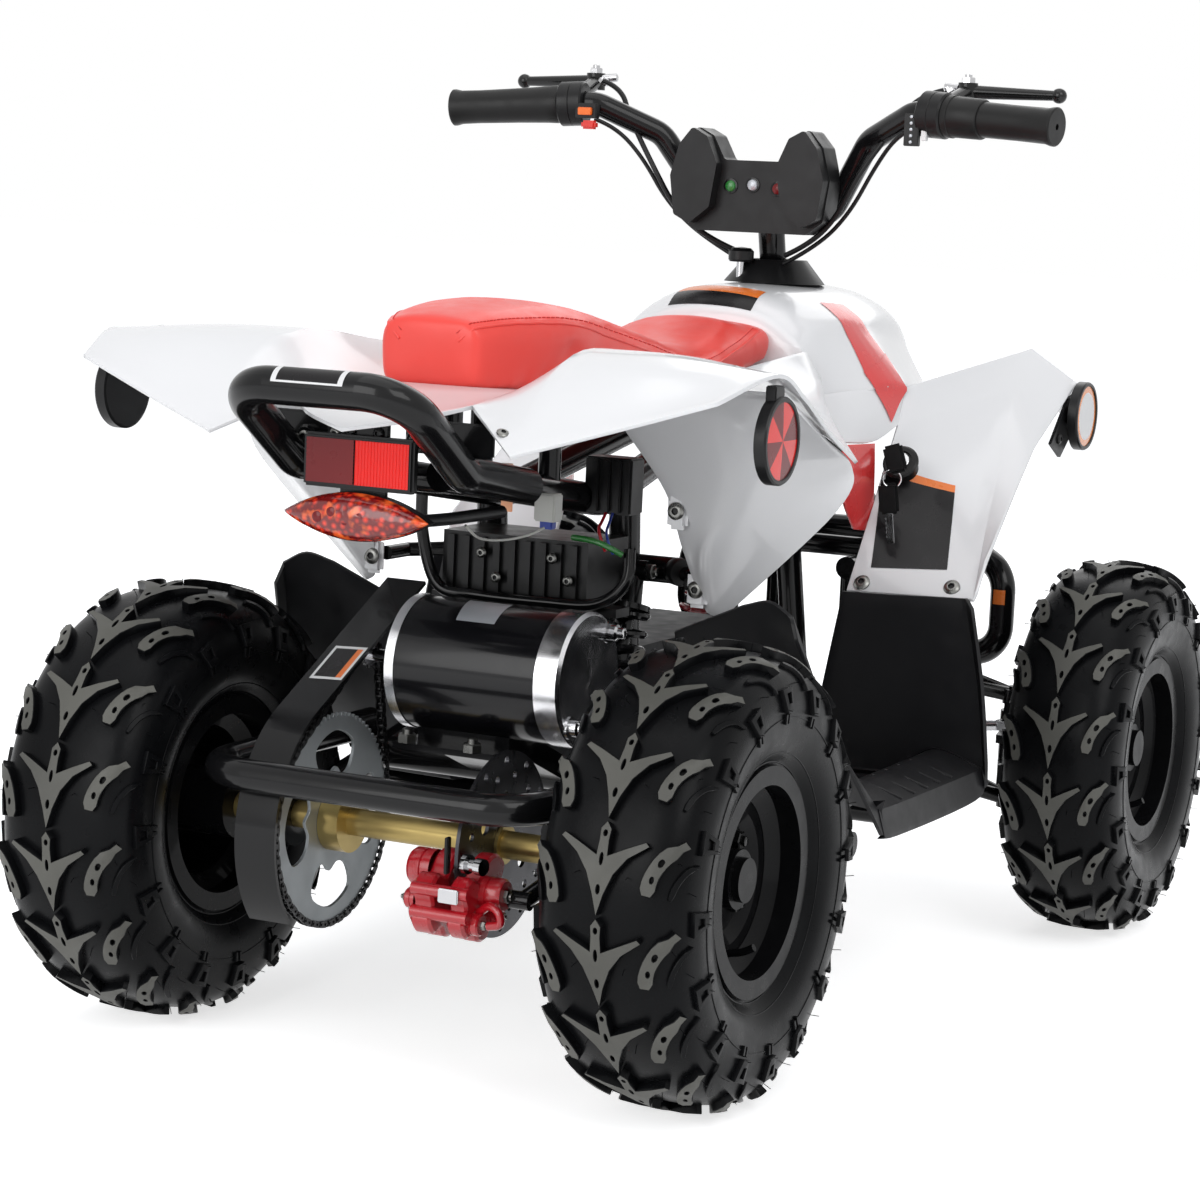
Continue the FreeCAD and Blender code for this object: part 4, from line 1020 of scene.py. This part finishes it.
def build_chain():
    """Plates, pins and rollers round both sprockets, one link to each quarter inch."""
    big = CHAIN_PITCH / (2 * sin(pi / REAR_TEETH))
    small = CHAIN_PITCH / (2 * sin(pi / MOTOR_TEETH))
    dy, dz = MOTOR_Y, MOTOR_Z - AXLE_Z
    span = hypot(dy, dz)
    base = atan2(dz, dy)
    lean = acos((big - small) / span)
    line = []
    for y, z, radius, first, swept, steps in ((0, AXLE_Z, big, base + lean, 2 * pi - 2 * lean, 160),
                                              (MOTOR_Y, MOTOR_Z, small, base - lean, 2 * lean, 30)):
        for i in range(steps + 1):
            a = first + swept * i / steps
            line.append(Vector((y + radius * cos(a), z + radius * sin(a))))
    line.append(line[0])
    lengths = run_lengths(line)
    count = 2 * round(lengths[-1] / CHAIN_PITCH / 2)

    def place(distance):
        distance %= lengths[-1]
        i = max(k for k in range(len(line) - 1) if lengths[k] <= distance)
        return line[i].lerp(line[i + 1], (distance - lengths[i]) / (lengths[i + 1] - lengths[i]))

    pins = [place(i * lengths[-1] / count) for i in range(count)]
    pin_half = [(4.2, 0), (4.2, 1.1), (1.8, 1.1), (1.8, 1.65)]
    roller = [(-along, radius) for along, radius in pin_half] + pin_half[::-1]
    bm = bmesh.new()
    for i, pin in enumerate(pins):
        after = pins[(i + 1) % count]
        along = (after - pin).normalized()
        out = Vector((-along.y, along.x))
        offsets = (2.7, 3.4) if i % 2 else (1.9, 2.6)
        half_turn = [pi * k / 4 for k in range(5)]
        outline = [pin + (out * cos(a) - along * sin(a)) * 2.6 for a in half_turn]
        outline += [after + (along * sin(a) - out * cos(a)) * 2.6 for a in half_turn]
        for sign in (1, -1):
            rings = [[bm.verts.new(at(SPROCKET_X + sign * x, p.x, p.y)) for p in outline] for x in offsets]
            for k, (a, b) in enumerate(zip(*rings)):
                bm.faces.new([a, b, rings[1][(k + 1) % 10], rings[0][(k + 1) % 10]])
            cap_ring(bm, rings[1])
            cap_ring(bm, rings[0], flip=True)
        add_lathe(bm, roller, (SPROCKET_X, pin.x, pin.y), (1, 0, 0), 8)
    face_out(bm)
    add_piece("roller_chain", bm, ["chain_steel"], replaces=["drive_chain"], angle=30)


build_chain()


def closed_curve(points, steps):
    """A smooth closed line through 2D points."""
    wrapped = points[-1:] + points + points[:2]
    return [tuple(p) for p in curve_points(wrapped, steps)[steps:-steps - 1]]


def add_plate(bm, outline, holes, middle, half, round_off):
    """A flat plate about the plane x = middle (mm), with through holes, its loops centred on the axle."""
    for way in (1, -1):
        add_slab(bm, outline, holes, lambda u, v, h: at(middle + way * h * 1000, u * 1000, AXLE_Z + v * 1000),
                 half * 0.001, round_off=round_off, through=True)
    weld(bm, 0.000005)
    face_out(bm)


def ring_point(radius, angle):
    return radius * cos(angle), radius * sin(angle)


def build_sprocket():
    """The rear sprocket with cut teeth, four rounded windows and its bolts."""
    teeth = []
    for angle in angles(REAR_TEETH):
        for share, radius in ((0.0, 0.0822), (0.22, 0.0826), (0.42, 0.0854), (0.58, 0.0854), (0.78, 0.0826)):
            teeth.append(ring_point(radius, angle + 2 * pi * share / REAR_TEETH - pi / 2))
    windows = []
    for quarter in range(4):
        loop = []
        for radius, spread in ((0.066, 25), (0.0715, 0), (0.066, -25), (0.047, -29), (0.037, -14), (0.042, 4),
                               (0.037, 20), (0.047, 31)):
            loop.append(Vector(ring_point(radius, radians(90 * quarter + spread))))
        windows.append(closed_curve(loop, 5))
    bore = [ring_point(0.016, a) for a in angles(36)]
    bm = bmesh.new()
    add_plate(bm, teeth, windows + [bore], SPROCKET_X, 1.4, 0.0003)
    for k in range(4):
        foot = turned(SPROCKET_X + 1.4, 0, AXLE_Z, 27, radians(45 + 90 * k))
        add_bolt(bm, foot, (1, 0, 0), 4.2, 2.6, 1, 2)
    finishes = ["sprocket_steel", "bolt_steel", "dark_hole"]
    add_piece("sprocket_plate", bm, finishes, "rear_axle", ["rear_sprocket"], 28)


build_sprocket()


def build_caliper():
    """A cast red caliper over the disc, with piston housings, slide bolt, pad clip and cable hook."""
    lumps = [(34, -34), (38, -50), (50, -50), (60, -61), (73, -60), (80, -52), (90, -55), (99, -44),
             (94, -32), (98, -20), (86, -9), (74, -13), (62, 0), (46, 3), (34, -6), (39, -21)]
    outline = closed_curve([Vector((y * 0.001, z * 0.001)) for y, z in lumps], 4)
    bm = bmesh.new()
    for middle, half in ((-80.5, 7.5), (-50.8, 8.8)):
        add_plate(bm, outline, [], middle, half, 0.0022)
    for x, y, z, r, h, way in ((-43, 60, -12, 15, 20, 1), (-43, 68, -42, 13, 13, 1), (-43, 88, -30, 8, 9, 1),
                               (-87, 64, -24, 13, 18, -1), (-87, 84, -44, 8.5, 9, -1),
                               (-87, 50, -44, 8, 7, -1)):
        add_lathe(bm, [(0, r), (h * 0.3, r), (h * 0.34, r * 0.93), (h * 0.4, r * 0.93), (h * 0.44, r),
                       (h * 0.86, r), (h, r * 0.86), (h, 0)], (x, y, AXLE_Z + z), (way, 0, 0), 36)
        add_nut(bm, (x + way * h, y, AXLE_Z + z), (way, 0, 0), r * 0.42, 3.5, 1)
    for z in (-20, -38):
        add_lathe(bm, [(-24, 0), (-24, 5), (24, 5), (24, 0)], (-66, 95, AXLE_Z + z), (1, 0, 0), 20)
    hook = [at(x, y, AXLE_Z + z) for x, y, z in (
        (-90, 78, -36), (-101, 82, -29), (-110, 84, -33), (-111, 84, -41), (-101, 84, -44))]
    add_tube(bm, curve_points(hook, 5), 0.0034, 12)
    add_lathe(bm, [(0, 7.5), (4, 7.5), (4, 4.8), (12, 4.8), (12, 6.5),
                   (18, 6.5), (18, 0)], (-80, 84, AXLE_Z + 1), (-1, 0.2, 0), 18, 2)
    add_box(bm, (-84, 99, AXLE_Z - 27), (-67, 102, AXLE_Z - 16), 2)
    add_box(bm, (-72, 92, AXLE_Z - 6), (-69, 98, AXLE_Z + 22), 3, 0.6)
    add_piece("cast_caliper", bm, ["red_caliper", "bolt_steel", "chrome", "black_frame"],
              replaces=["brake_caliper"], angle=40)


build_caliper()


def build_drive_fittings():
    """The motor's terminal posts, the nuts of its plate and the screws of the box above it."""
    bm = bmesh.new()
    for y, z in ((-83.2, 339.0), (-22.0, 270.7)):
        add_lathe(bm, [(0, 9), (2, 9), (2, 6.5), (8, 6.5), (9.5, 4.5), (9.5, 0)],
                  (-108.8, y, z), (-1, 0, 0), 24, 1)
        add_lathe(bm, [(9.5, 4.5), (14, 4.5), (15, 3), (15, 0)], (-108.8, y, z), (-1, 0, 0), 16, 1)
    for x, y in ((27.6, -10.5), (-33.3, -6.1)):
        add_nut(bm, (x, y, 245), (0, 0, 1), 8, 7)
    for x, y, z in ((20, -108, 388), (-44, -108, 389), (6, -108, 369), (-59, -108, 372)):
        add_bolt(bm, (x, y, z), (0, 1, 0), 4.5, 3, 0, 2)
    add_piece("drive_bolts", bm, ["bolt_steel", "chrome", "dark_hole"])


build_drive_fittings()


def helix(low, high, radius, turns):
    """Points of a coil spring between two places (mm), its end turns closed up."""
    closed_turns, steps = 1.2, 18
    low, high = at(*low), at(*high)
    axis = (high - low).normalized()
    side, up = cross_axes(axis)
    points = []
    count = int(turns * steps)
    for i in range(count + 1):
        share = i / count
        done = share * turns
        ease = min(done, turns - done) / closed_turns
        climb = share
        if ease < 1:
            end = 0 if done < turns / 2 else 1
            climb = (share + end) / 2 * (2 - ease) * 0.5 + share * ease / 2
        angle = 2 * pi * done
        points.append(low.lerp(high, climb) + (side * cos(angle) + up * sin(angle)) * radius * 0.001)
    return points


def line_point(low, high, share):
    return tuple(a + (b - a) * share for a, b in zip(low, high))


def build_shocks():
    """Coil springs over dampers: two red ones in front, a black one behind."""
    arm_z = 112 + (150 - 112) * 46.0 / 140.0
    bm = bmesh.new()
    for sign in (1, -1):
        low, top = (sign * 176, FRONT_AXLE_Y, arm_z + 18), (sign * 100, FRONT_AXLE_Y, 330)
        axis = at(*top) - at(*low)
        length = axis.length * 1000
        body = [(0, 0), (0, 9), (30, 9), (31, 16.5), (37, 16.5), (38, 8.5),
                (length * 0.55, 8.5), (length * 0.56, 4.5), (length * 0.86, 4.5), (length * 0.86, 15.5),
                (length * 0.89, 15.5), (length * 0.9, 9), (length, 9), (length, 0)]
        add_lathe(bm, body, low, axis, 24, 1)
        spring = helix(line_point(low, top, 0.2), line_point(low, top, 0.85), 12.8, 8.5)
        add_tube(bm, spring, 0.0031, 8)
    add_piece("front_springs", bm, ["red_spring", "black_frame"], replaces=["front_shocks"])
    bm = bmesh.new()
    low, top = (-77.5, -150, 228), (-77.5, -196, 375)
    for place in (low, top):
        add_lathe(bm, [(-11, 0), (-11, 8.5), (11, 8.5), (11, 0)], place, (1, 0, 0), 24)
        add_nut(bm, (place[0] - 11, place[1], place[2]), (-1, 0, 0), 6.5, 5, 1)
    axis = at(*top) - at(*low)
    length = axis.length * 1000
    add_lathe(bm, [(4, 7), (20, 9), (21, 18), (26, 18), (27, 10),
                   (length * 0.55, 10), (length * 0.56, 5), (length * 0.78, 5), (length * 0.78, 17),
                   (length * 0.81, 17), (length * 0.82, 9), (length - 4, 7)], low, axis, 24)
    spring = helix(line_point(low, top, 0.16), line_point(low, top, 0.78), 15.4, 7.5)
    add_tube(bm, spring, 0.0034, 8)
    add_piece("rear_spring", bm, ["black_frame", "bolt_steel"], replaces=["rear_shock"])


build_shocks()


# Lamps and reflectors

def build_rear_reflector():
    """A black frame with a cross-cut half in painted shade and a ribbed half in painted highlight and painted
    glow.
    """
    bm = bmesh.new()
    add_box(bm, (-47, 118, 456), (47, 127, 496), 0, 2.0)
    rows = 24
    for index, x_low, x_high, columns in ((1, 3, 43.5, 26), (2, -43.5, 2, 34)):
        grid = []
        for i in range(rows + 1):
            z = 459.5 + 33 * i / rows
            line = []
            for j in range(columns + 1):
                x = x_low + (x_high - x_low) * j / columns
                raised = j % 2 if index == 2 else (i + j) % 2
                line.append(at(x, 127.6 + 0.9 * raised, z))
            grid.append(line)
        add_grid(bm, grid, index, flip=True)
    face_out(bm)
    add_piece("reflector_panel", bm, ["black_plastic", "dull_red", "bright_red"], replaces=["rear_reflector"],
              angle=20)


build_rear_reflector()


def lamp_glass():
    """Clear red glass over a broken pattern of facets painted bright and dark, as painted glints and painted
    shade.
    """
    tree, shader = new_material("lamp_glass")
    coords = tree.nodes.new("ShaderNodeTexCoord")
    cells = tree.nodes.new("ShaderNodeTexVoronoi")
    put(cells, Scale=190.0)
    tree.links.new(coords.outputs["Object"], cells.inputs["Vector"])
    # The bright cells and the bright patches are painted glints, and the dark cells are painted shade.
    patches = noise(tree, 90.0, 2.0)
    facets = remap(tree, cells.outputs["Distance"], 1.0, 0.0, 0.1, 0.55)
    base = mix_colors(tree, facets, (0.16, 0.002, 0.003), (0.85, 0.04, 0.012))
    bright = mix_colors(tree, remap(tree, patches, 0.0, 1.0, 0.5, 0.68), base, (1.0, 0.16, 0.03))
    tree.links.new(bright, shader.inputs["Base Color"])
    tree.links.new(bright, shader.inputs["Emission Color"])
    put(shader, Emission_Strength=0.08, Roughness=0.2, Coat_Weight=0.4)
    add_bump(tree, shader, cells.outputs["Distance"], 0.5, 0.0008)


lamp_glass()


def build_tail_lamp():
    """A bowed red lens over a black back, four dull bulbs that show in it, and its stalk."""
    bm = bmesh.new()
    length, tall, middle_z = 62.0, 18.0, 436
    bow = (length ** 2 + tall ** 2) / (2 * tall)

    def edge(x):
        return sqrt(bow ** 2 - x ** 2) - (bow - tall)

    columns, rows = 40, 12
    for y_low, rise, grow, index in ((126.0, 14.0, 1.0, 0), (118.0, 0.0, 0.97, 1)):
        grid = []
        for i in range(columns + 1):
            x = -length + 2 * length * i / columns
            line = []
            for j in range(rows + 1):
                t = -1 + 2 * j / rows
                crown = (1 - t ** 2) * (1 - (x / length) ** 2)
                line.append(at(x * grow, y_low + rise * crown ** 0.45, middle_z + edge(x) * t * grow))
            grid.append(line)
        add_grid(bm, grid, index)
    stations = [length * (i / 20 - 1) for i in range(41)]
    rim = [at(x, 118, middle_z + edge(x)) for x in stations]
    rim += [at(x, 118, middle_z - edge(x)) for x in stations[-2:0:-1]]
    add_grid(bm, [rim, [p + Vector((0, 0.009, 0)) for p in rim]], 1, closed=True)
    for x, z in ((14, 439), (2, 434), (-10, 437), (26, 435)):
        add_lathe(bm, [(0, 4.2), (1.5, 4.2), (2.2, 3), (2.2, 0)], (x, 137.5, z), (0, 1, 0), 16, 2)
    stalk = curve_points([at(-44, 126, 436), at(-56, 92, 436.5), at(-63, 52, 437.5), at(-66, 22, 438)], 6)
    add_tube(bm, stalk, 0.0048, 12, 1)
    face_out(bm)
    add_piece("tail_lamp_dressed", bm, ["lamp_glass", "black_plastic", "dull_red"], replaces=["tail_lamp"])


build_tail_lamp()


def build_side_reflectors():
    """Round reflectors: red wedges behind, painted lit and shaded in turn, a pale face in an amber ring in
    front.
    """
    bm = bmesh.new()
    lens = 0.0284
    rim = [(0, 0), (0, 30.5), (1, 32.5), (9, 32.5), (10.5, 31.5), (10.5, 29), (9.5, 28.5), (9.5, 28.4)]
    for place, bands in (((281, 17, 508), [(0.0, lens, (4, 3))]),
                         ((264, FRONT_AXLE_Y, 490), [(0.0225, lens, (2, 2)), (0.0, 0.0225, (5, 5))])):
        centre = at(*place)
        add_lathe(bm, rim, place, (1, 0, 0), 64)
        for k in range(8):
            fan = [2 * pi * (k + s / 8) / 8 for s in range(9)]
            for low, high, finishes in bands:
                rows = []
                for r in (low, (low + high) / 2, high):
                    rise = 0.0101 - 0.0008 * (r / lens) ** 2
                    rows.append([centre + Vector((rise, r * cos(a), r * sin(a))) for a in fan])
                # Behind, each wedge takes the painted shade or the painted highlight in turn.
                add_grid(bm, rows, finishes[k % 2])
    add_box(bm, (281, 14, 530), (289.5, 30, 548.4))
    plate = [(-4, 512), (22, 506.9), (66, 466), (36, 452), (4, 474)]
    sheets = [[bm.verts.new(at(x, FRONT_AXLE_Y + y, z)) for y, z in plate] for x in (258.6, 261.6)]
    for k in range(5):
        bm.faces.new([sheets[0][k], sheets[1][k], sheets[1][(k + 1) % 5], sheets[0][(k + 1) % 5]])
    cap_ring(bm, sheets[1])
    cap_ring(bm, sheets[0], flip=True)
    add_lathe(bm, [(0, 0), (0, 8), (5, 8), (5, 0)], (260, FRONT_AXLE_Y + 6, 490), (1, 0, 0), 20)
    add_bolt(bm, (261.6, FRONT_AXLE_Y + 45, 470), (1, 0, 0), 5, 3, 0, 0)
    weld(bm, 0.00002)
    face_out(bm)
    mirror_in(bm)
    finishes = ["black_plastic", "bolt_steel", "amber", "dull_red", "bright_red", "label_white"]
    add_piece("round_reflectors", bm, finishes, replaces=["side_reflectors"], angle=25)


build_side_reflectors()


# Handlebar fittings

BAR_LOW_Y = FRONT_AXLE_Y + 155 - 6
BAR_LOW_Z = 668.0
BAR_END = Vector((298, BAR_LOW_Y + 78, BAR_LOW_Z + 87))
BAR_BEND = Vector((160, BAR_LOW_Y + 56, BAR_LOW_Z + 96))
BAR_ALONG = (BAR_END - BAR_BEND).normalized()
GRIP_START = BAR_END - BAR_ALONG * 105


def build_grips():
    """Smooth rubber grips with a flange and a dimpled end; the right one turns on a fatter inner sleeve."""
    bm = bmesh.new()
    end = [(99, 15.8), (104.5, 17.2), (107, 17.2), (108, 16), (108, 2.8), (104, 2.8), (104, 0)]
    left = [(0, 11.5), (0, 17.2), (3, 17.8), (12, 17.2), (40, 16.3), (80, 15.6)] + end
    right = [(0, 11.5), (0, 18.8), (1.5, 19.2), (6, 19.2), (6.5, 18.4), (34, 18),
             (35.5, 17.2), (36, 15.8), (70, 15.5)] + end
    flip = Vector((-1, 1, 1))
    add_lathe(bm, left, GRIP_START, BAR_ALONG, 48)
    add_lathe(bm, right, GRIP_START * flip, BAR_ALONG * flip, 48)
    face_out(bm)
    add_piece("rubber_grips", bm, ["grip_rubber"], "steering", ["grips"], 30)


build_grips()


def build_switches():
    """Switch housings, a row of charge lamps on the right, and a slider and button on the left."""
    bm = bmesh.new()
    add_lathe(bm, [(-25, 11.5), (-25, 19), (-23.5, 20.8), (-13, 20.8), (-12.5, 20.3),
                   (-12, 20.8), (-2, 20.8), (-0.4, 19), (-0.4, 11.5)],
              GRIP_START, BAR_ALONG, 48)
    mirror_in(bm)
    for low, high, index, soften in (
            ((-171, -548, 734), (-157, -542, 763), 0, 0.6), ((-178, -549, 739), (-173, -543, 751), 3, 0.6),
            ((149, -546, 749), (171, -538, 763), 0, 0.6), ((153, -541, 752), (167, -535, 759), 4, 0.6),
            ((148, -543, 739), (163, -534, 747), 5, 2)):
        add_box(bm, low, high, index, soften)
    for k in range(5):
        add_lathe(bm, [(0, 1.6), (1.2, 1.4), (1.6, 0)], (-164, -542, 737.5 + 5.6 * k), (0, 1, 0), 12, 2)
    finishes = ["black_plastic", "bolt_steel", "label_silver", "label_white", "switch_orange", "switch_red"]
    add_piece("switch_housings", bm, finishes, "steering", ["switch_pods"])
    bm = bmesh.new()
    for sign in (1, -1):
        add_nut(bm, (sign * 189, BAR_LOW_Y + 1, BAR_LOW_Z + 126), (0, 0, 1), 6.5, 5)
        add_nut(bm, (sign * 176, BAR_LOW_Y + 12, BAR_LOW_Z + 116), (-sign * 0.6, 0, 0.8), 5.5, 4)
        add_lathe(bm, [(0, 4), (14, 4), (14.5, 3), (14.5, 0)],
                  (sign * 181, BAR_LOW_Y + 2, BAR_LOW_Z + 121), (-sign, -0.2, 0.1), 14)
    add_piece("lever_bolts", bm, ["chrome"], "steering")


build_switches()


def build_dash():
    """Tell-tale lamps in the dash, the stem's bolt, and the knob at its foot."""
    bm = bmesh.new()
    for x, z, index in ((20.5, 692.0, 3), (-1.7, 693.7, 1), (-27.0, 691.1, 2)):
        face = (x, -567.7, z)
        add_lathe(bm, [(0, 7.2), (1.2, 7), (1.4, 5.2)], face, (0, 1, 0), 24)
        add_lathe(bm, [(1.4, 5.2), (2.8, 4.5), (3.8, 2.5), (4, 0)], face, (0, 1, 0), 20, index)
    add_piece("dash_lamps", bm, ["black_frame", "label_silver", "dull_red", "wire_green"], "steering")
    bm = bmesh.new()
    add_lathe(bm, [(0, 8), (5, 8), (5, 4.5), (15, 4.5), (16, 3), (16, 0)],
              (-13, -628, 619), (-1, 0, 0), 16)
    add_piece("stem_bolt", bm, ["bolt_steel"], "steering")
    bm = bmesh.new()
    add_lathe(bm, [(0, 4), (16, 4)], (20, -598, 606), (0, 0, 1), 16, 1)
    add_lathe(bm, [(16, 0), (16, 10.5), (18, 12), (26, 12), (29, 9), (30, 0)],
              (20, -598, 606), (0, 0, 1), 24)
    add_piece("battery_switch_knob", bm, ["black_plastic", "chrome"])


build_dash()


# Keys, bolts and small parts of the body

KEY_HEAD = (-181, -504, 457)
KEY_HUNG = (-177, -504, 421)


def build_body_fittings():
    """Panel bolts, the ignition lock, and two keys on a ring."""
    bm = bmesh.new()
    for x, y, z in ((-162.4, -487.8, 345.0), (-243.5, -498.7, 347.4)):
        for sign in (1, -1):
            add_bolt(bm, (sign * -x, y, z), (0, 0.75, 0.6), 7.5, 3.6)
    for sign in (1, -1):
        add_bolt(bm, (sign * 250, 20, 557.4), (0, 0.25, 0.97), 6, 2.4)
        add_bolt(bm, (sign * 112, 112, 505), (sign * 0.4, 0.3, 0.85), 5, 2.4)
    add_piece("panel_bolts", bm, ["bolt_steel", "dark_hole"])
    bm = bmesh.new()
    add_lathe(bm, [(0, 16.5), (2, 16.5), (3.5, 14.5), (3.5, 11), (1.5, 10.5), (1.5, 0)],
              (-172.6, -541.6, 450.4), (-0.05, 0.85, 0.53), 36)
    add_lathe(bm, [(1.5, 8.5), (5, 8.5), (5.5, 7.5), (5.5, 0)], (-172.6, -541.6, 450.4),
              (-0.05, 0.85, 0.53), 24, 1)
    ring = [at(-179 + 8 * cos(a), -504 + 2 * cos(a), 439 + 8 * sin(a)) for a in angles(28)]
    add_tube(bm, ring, 0.0007, 6, 1, closed=True)
    for place, lean, tall, blade in ((KEY_HEAD, 0.3, 13, 0), (KEY_HUNG, 0.12, 14, 26)):
        key = bmesh.new()
        add_box(key, (-9.5, -2.6, -tall), (9.5, 2.6, tall), 0, 2.4)
        if blade:
            add_box(key, (-3.6, -1.1, -tall - blade), (3.6, 1.1, -tall + 1), 1, 0.5)
            for k in range(5):
                add_box(key, (3.4, -1.1, -tall - 21 + 4 * k), (4.8, 1.1, -tall - 19 + 4 * k), 1, 0.2)
        shift = Vector((0, SHIFT_Y, 0))
        turn = Matrix.Translation(at(*place)) @ Matrix.Rotation(lean, 4, "Y") @ Matrix.Translation(-shift)
        bmesh.ops.transform(key, matrix=turn, verts=key.verts)
        merge(bm, key)
    add_piece("keys", bm, ["black_plastic", "chrome"])


build_body_fittings()


def build_bay():
    """What shows between the fenders above the motor: relay, connector, strip, caps and a hoop."""
    bm = bmesh.new()
    add_box(bm, (-92, -172, 424), (-50, -148, 470), 0, 1.5)
    for x in (-84, -74, -64):
        add_box(bm, (x, -150, 426), (x + 5, -144, 468))
    add_box(bm, (-54.5, -17, 434), (-45, -15, 470.5), 1, 0.3)
    add_box(bm, (-54.5, -15.2, 470), (-45, -8, 471.5), 1, 0.3)
    add_box(bm, (-71, -70, 424), (-53, -55, 446), 2, 1.2)
    add_box(bm, (-68, -66, 418), (-57, -58, 425), 3)
    add_lathe(bm, [(0, 10.5), (2, 11.5), (12, 11.5), (13.5, 10.5), (13.5, 0)],
              (-104, -215, 375), (-0.75, 0.65, 0), 28)
    hoop = [at(74, -102, 446), at(72, -102, 400), at(56, -102, 359), at(20, -102, 354), at(-40, -102, 354),
            at(-88, -102, 357), at(-112, -104, 376), at(-112, -110, 402)]
    add_tube(bm, curve_points(hoop, 8), 0.005, 12, 4)
    add_piece("electrics", bm, ["black_plastic", "copper", "white_nylon", "wire_blue", "black_frame"])


build_bay()


def build_tail_bracket():
    """Bolted plates under the tail of the seat deck, behind the grab bar."""
    bm = bmesh.new()
    add_box(bm, (22, 92, 484), (96, 97, 509), 0, 1.5)
    for x, z in ((34, 494), (61, 490)):
        add_lathe(bm, [(0, 9), (4, 9), (6, 7), (6, 0)], (x, 97, z), (0, 1, 0), 24)
        add_bolt(bm, (x, 103, z), (0, 1, 0), 4.5, 2.5, 1, 2)
    mirror_in(bm)
    add_piece("tail_bracket", bm, ["black_frame", "bolt_steel", "dark_hole"])


build_tail_bracket()


# Wires and hoses

def build_cord(name, points, diameter, finish, body="chassis"):
    """A wire or hose from one fixed point of the bike to another."""
    data = bpy.data.curves.new(name, "CURVE")
    data.dimensions = "3D"
    spline = data.splines.new("NURBS")
    spline.points.add(len(points) - 1)
    for knot, point in zip(spline.points, points):
        knot.co = (*at(*point), 1.0)
    set_all(spline, order_u=3, use_endpoint_u=True)
    set_all(data, bevel_depth=diameter * 0.0005, bevel_resolution=4)
    data.materials.append(MATERIALS[finish])
    bare = data.copy()
    bare.bevel_depth = 0.0
    sample = bpy.data.objects.new("sample", bare)
    mesh = bpy.data.meshes.new_from_object(sample)
    bpy.data.objects.remove(sample)
    cord = add_object(name, data)
    enter(cord, body, slot_of(finish))


CORDS = {
    "lamp_lead": ([(-58, 64, 430), (-52, 40, 420), (-40, 0, 412), (-44, -30, 410), (-56, -52, 414),
                   (-62, -60, 420)], 2.0, "white_nylon"),
    "relay_wire_red": ([(-70, -150, 426), (-72, -138, 418), (-78, -120, 416), (-84, -112, 409),
                        (-86, -118, 398)], 2.6, "wire_red"),
    "relay_wire_blue": ([(-76, -150, 426), (-78, -138, 416), (-84, -122, 413), (-90, -114, 406),
                         (-92, -120, 396)], 2.2, "wire_blue"),
    "bay_wire_green": ([(-64, -104, 408), (-80, -96, 409), (-96, -96, 406), (-108, -104, 398)], 5.0,
                       "wire_green"),
}
BRAKE_CABLE = [(172, -598, 786), (150, -592, 780), (134, -580, 752), (104, -572, 708), (82, -580, 668),
               (52, -592, 642), (22, -605, 630)]
SWITCH_LEAD = [(159, -555, 749), (142, -565, 743), (118, -578, 716), (92, -586, 672), (56, -600, 640),
               (20, -606, 622)]
for side, tag in ((-1, "right"), (1, "left")):
    for name, path, diameter in (("brake_cable", BRAKE_CABLE, 5.0), ("switch_lead", SWITCH_LEAD, 4.0)):
        sided = [(side * x, y, z) for x, y, z in path]
        CORDS[f"{name}_{tag}"] = (sided, diameter, "black_plastic", "steering")
for name, facts in CORDS.items():
    build_cord(name, *facts)


# Studio

def build_studio():
    """White all round for the eye and for reflections, a softer light from the world, and four lamps."""
    world = bpy.data.worlds.new("studio")
    bpy.context.scene.world = world
    world.use_nodes = True
    tree = world.node_tree
    lighting = tree.nodes["Background"]
    put(lighting, Color=(0.92, 0.95, 1.0, 1.0), Strength=0.42)
    shown = tree.nodes.new("ShaderNodeBackground")
    put(shown, Color=(1.0, 1.0, 1.0, 1.0), Strength=1.0)
    mix = tree.nodes.new("ShaderNodeMixShader")
    tree.links.new(seen_rays(tree), mix.inputs["Fac"])
    tree.links.new(lighting.outputs[0], mix.inputs[1])
    tree.links.new(shown.outputs[0], mix.inputs[2])
    tree.links.new(mix.outputs[0], tree.nodes["World Output"].inputs["Surface"])

    bpy.ops.mesh.primitive_plane_add(size=60.0, location=(0, 0, 0))
    floor = bpy.context.object
    floor.name = "floor"
    tree, shader = new_material("floor")
    put(shader, Roughness=0.9, Specular_IOR_Level=0.0, Base_Color=(0.93, 0.93, 0.93, 1.0),
        Emission_Color=(1.0, 1.0, 1.0, 1.0))
    glow = remap(tree, seen_rays(tree), 0.0, 0.68, 0.0, 1.0)
    tree.links.new(glow, shader.inputs["Emission Strength"])
    floor.data.materials.append(MATERIALS["floor"])

    target = Vector((0, 0, 0.35))
    for name, place, size_m, power in (
            ("key", (-3.2, 2.2, 3.4), 2.6, 66.0), ("fill", (0.9, 4.6, 1.9), 3.0, 92.0),
            ("rim", (0.5, -4.0, 3.2), 3.0, 36.0), ("top", (0.0, 0.5, 4.2), 3.4, 34.0)):
        data = bpy.data.lights.new(name, "AREA")
        set_all(data, energy=power, size=size_m)
        lamp = add_object(name, data)
        lamp.location = place
        lamp.rotation_euler = (target - Vector(place)).to_track_quat("-Z", "Y").to_euler()


def seen_rays(tree):
    """1 for rays from the camera, in reflections and through clear pieces, 0 for the light itself."""
    rays = tree.nodes.new("ShaderNodeLightPath")
    total = rays.outputs["Is Camera Ray"]
    for name in ("Is Glossy Ray", "Is Transmission Ray"):
        either = tree.nodes.new("ShaderNodeMath")
        either.operation = "MAXIMUM"
        tree.links.new(total, either.inputs[0])
        tree.links.new(rays.outputs[name], either.inputs[1])
        total = either.outputs[0]
    return total


build_studio()

bpy.context.scene.view_settings.view_transform = "Standard"
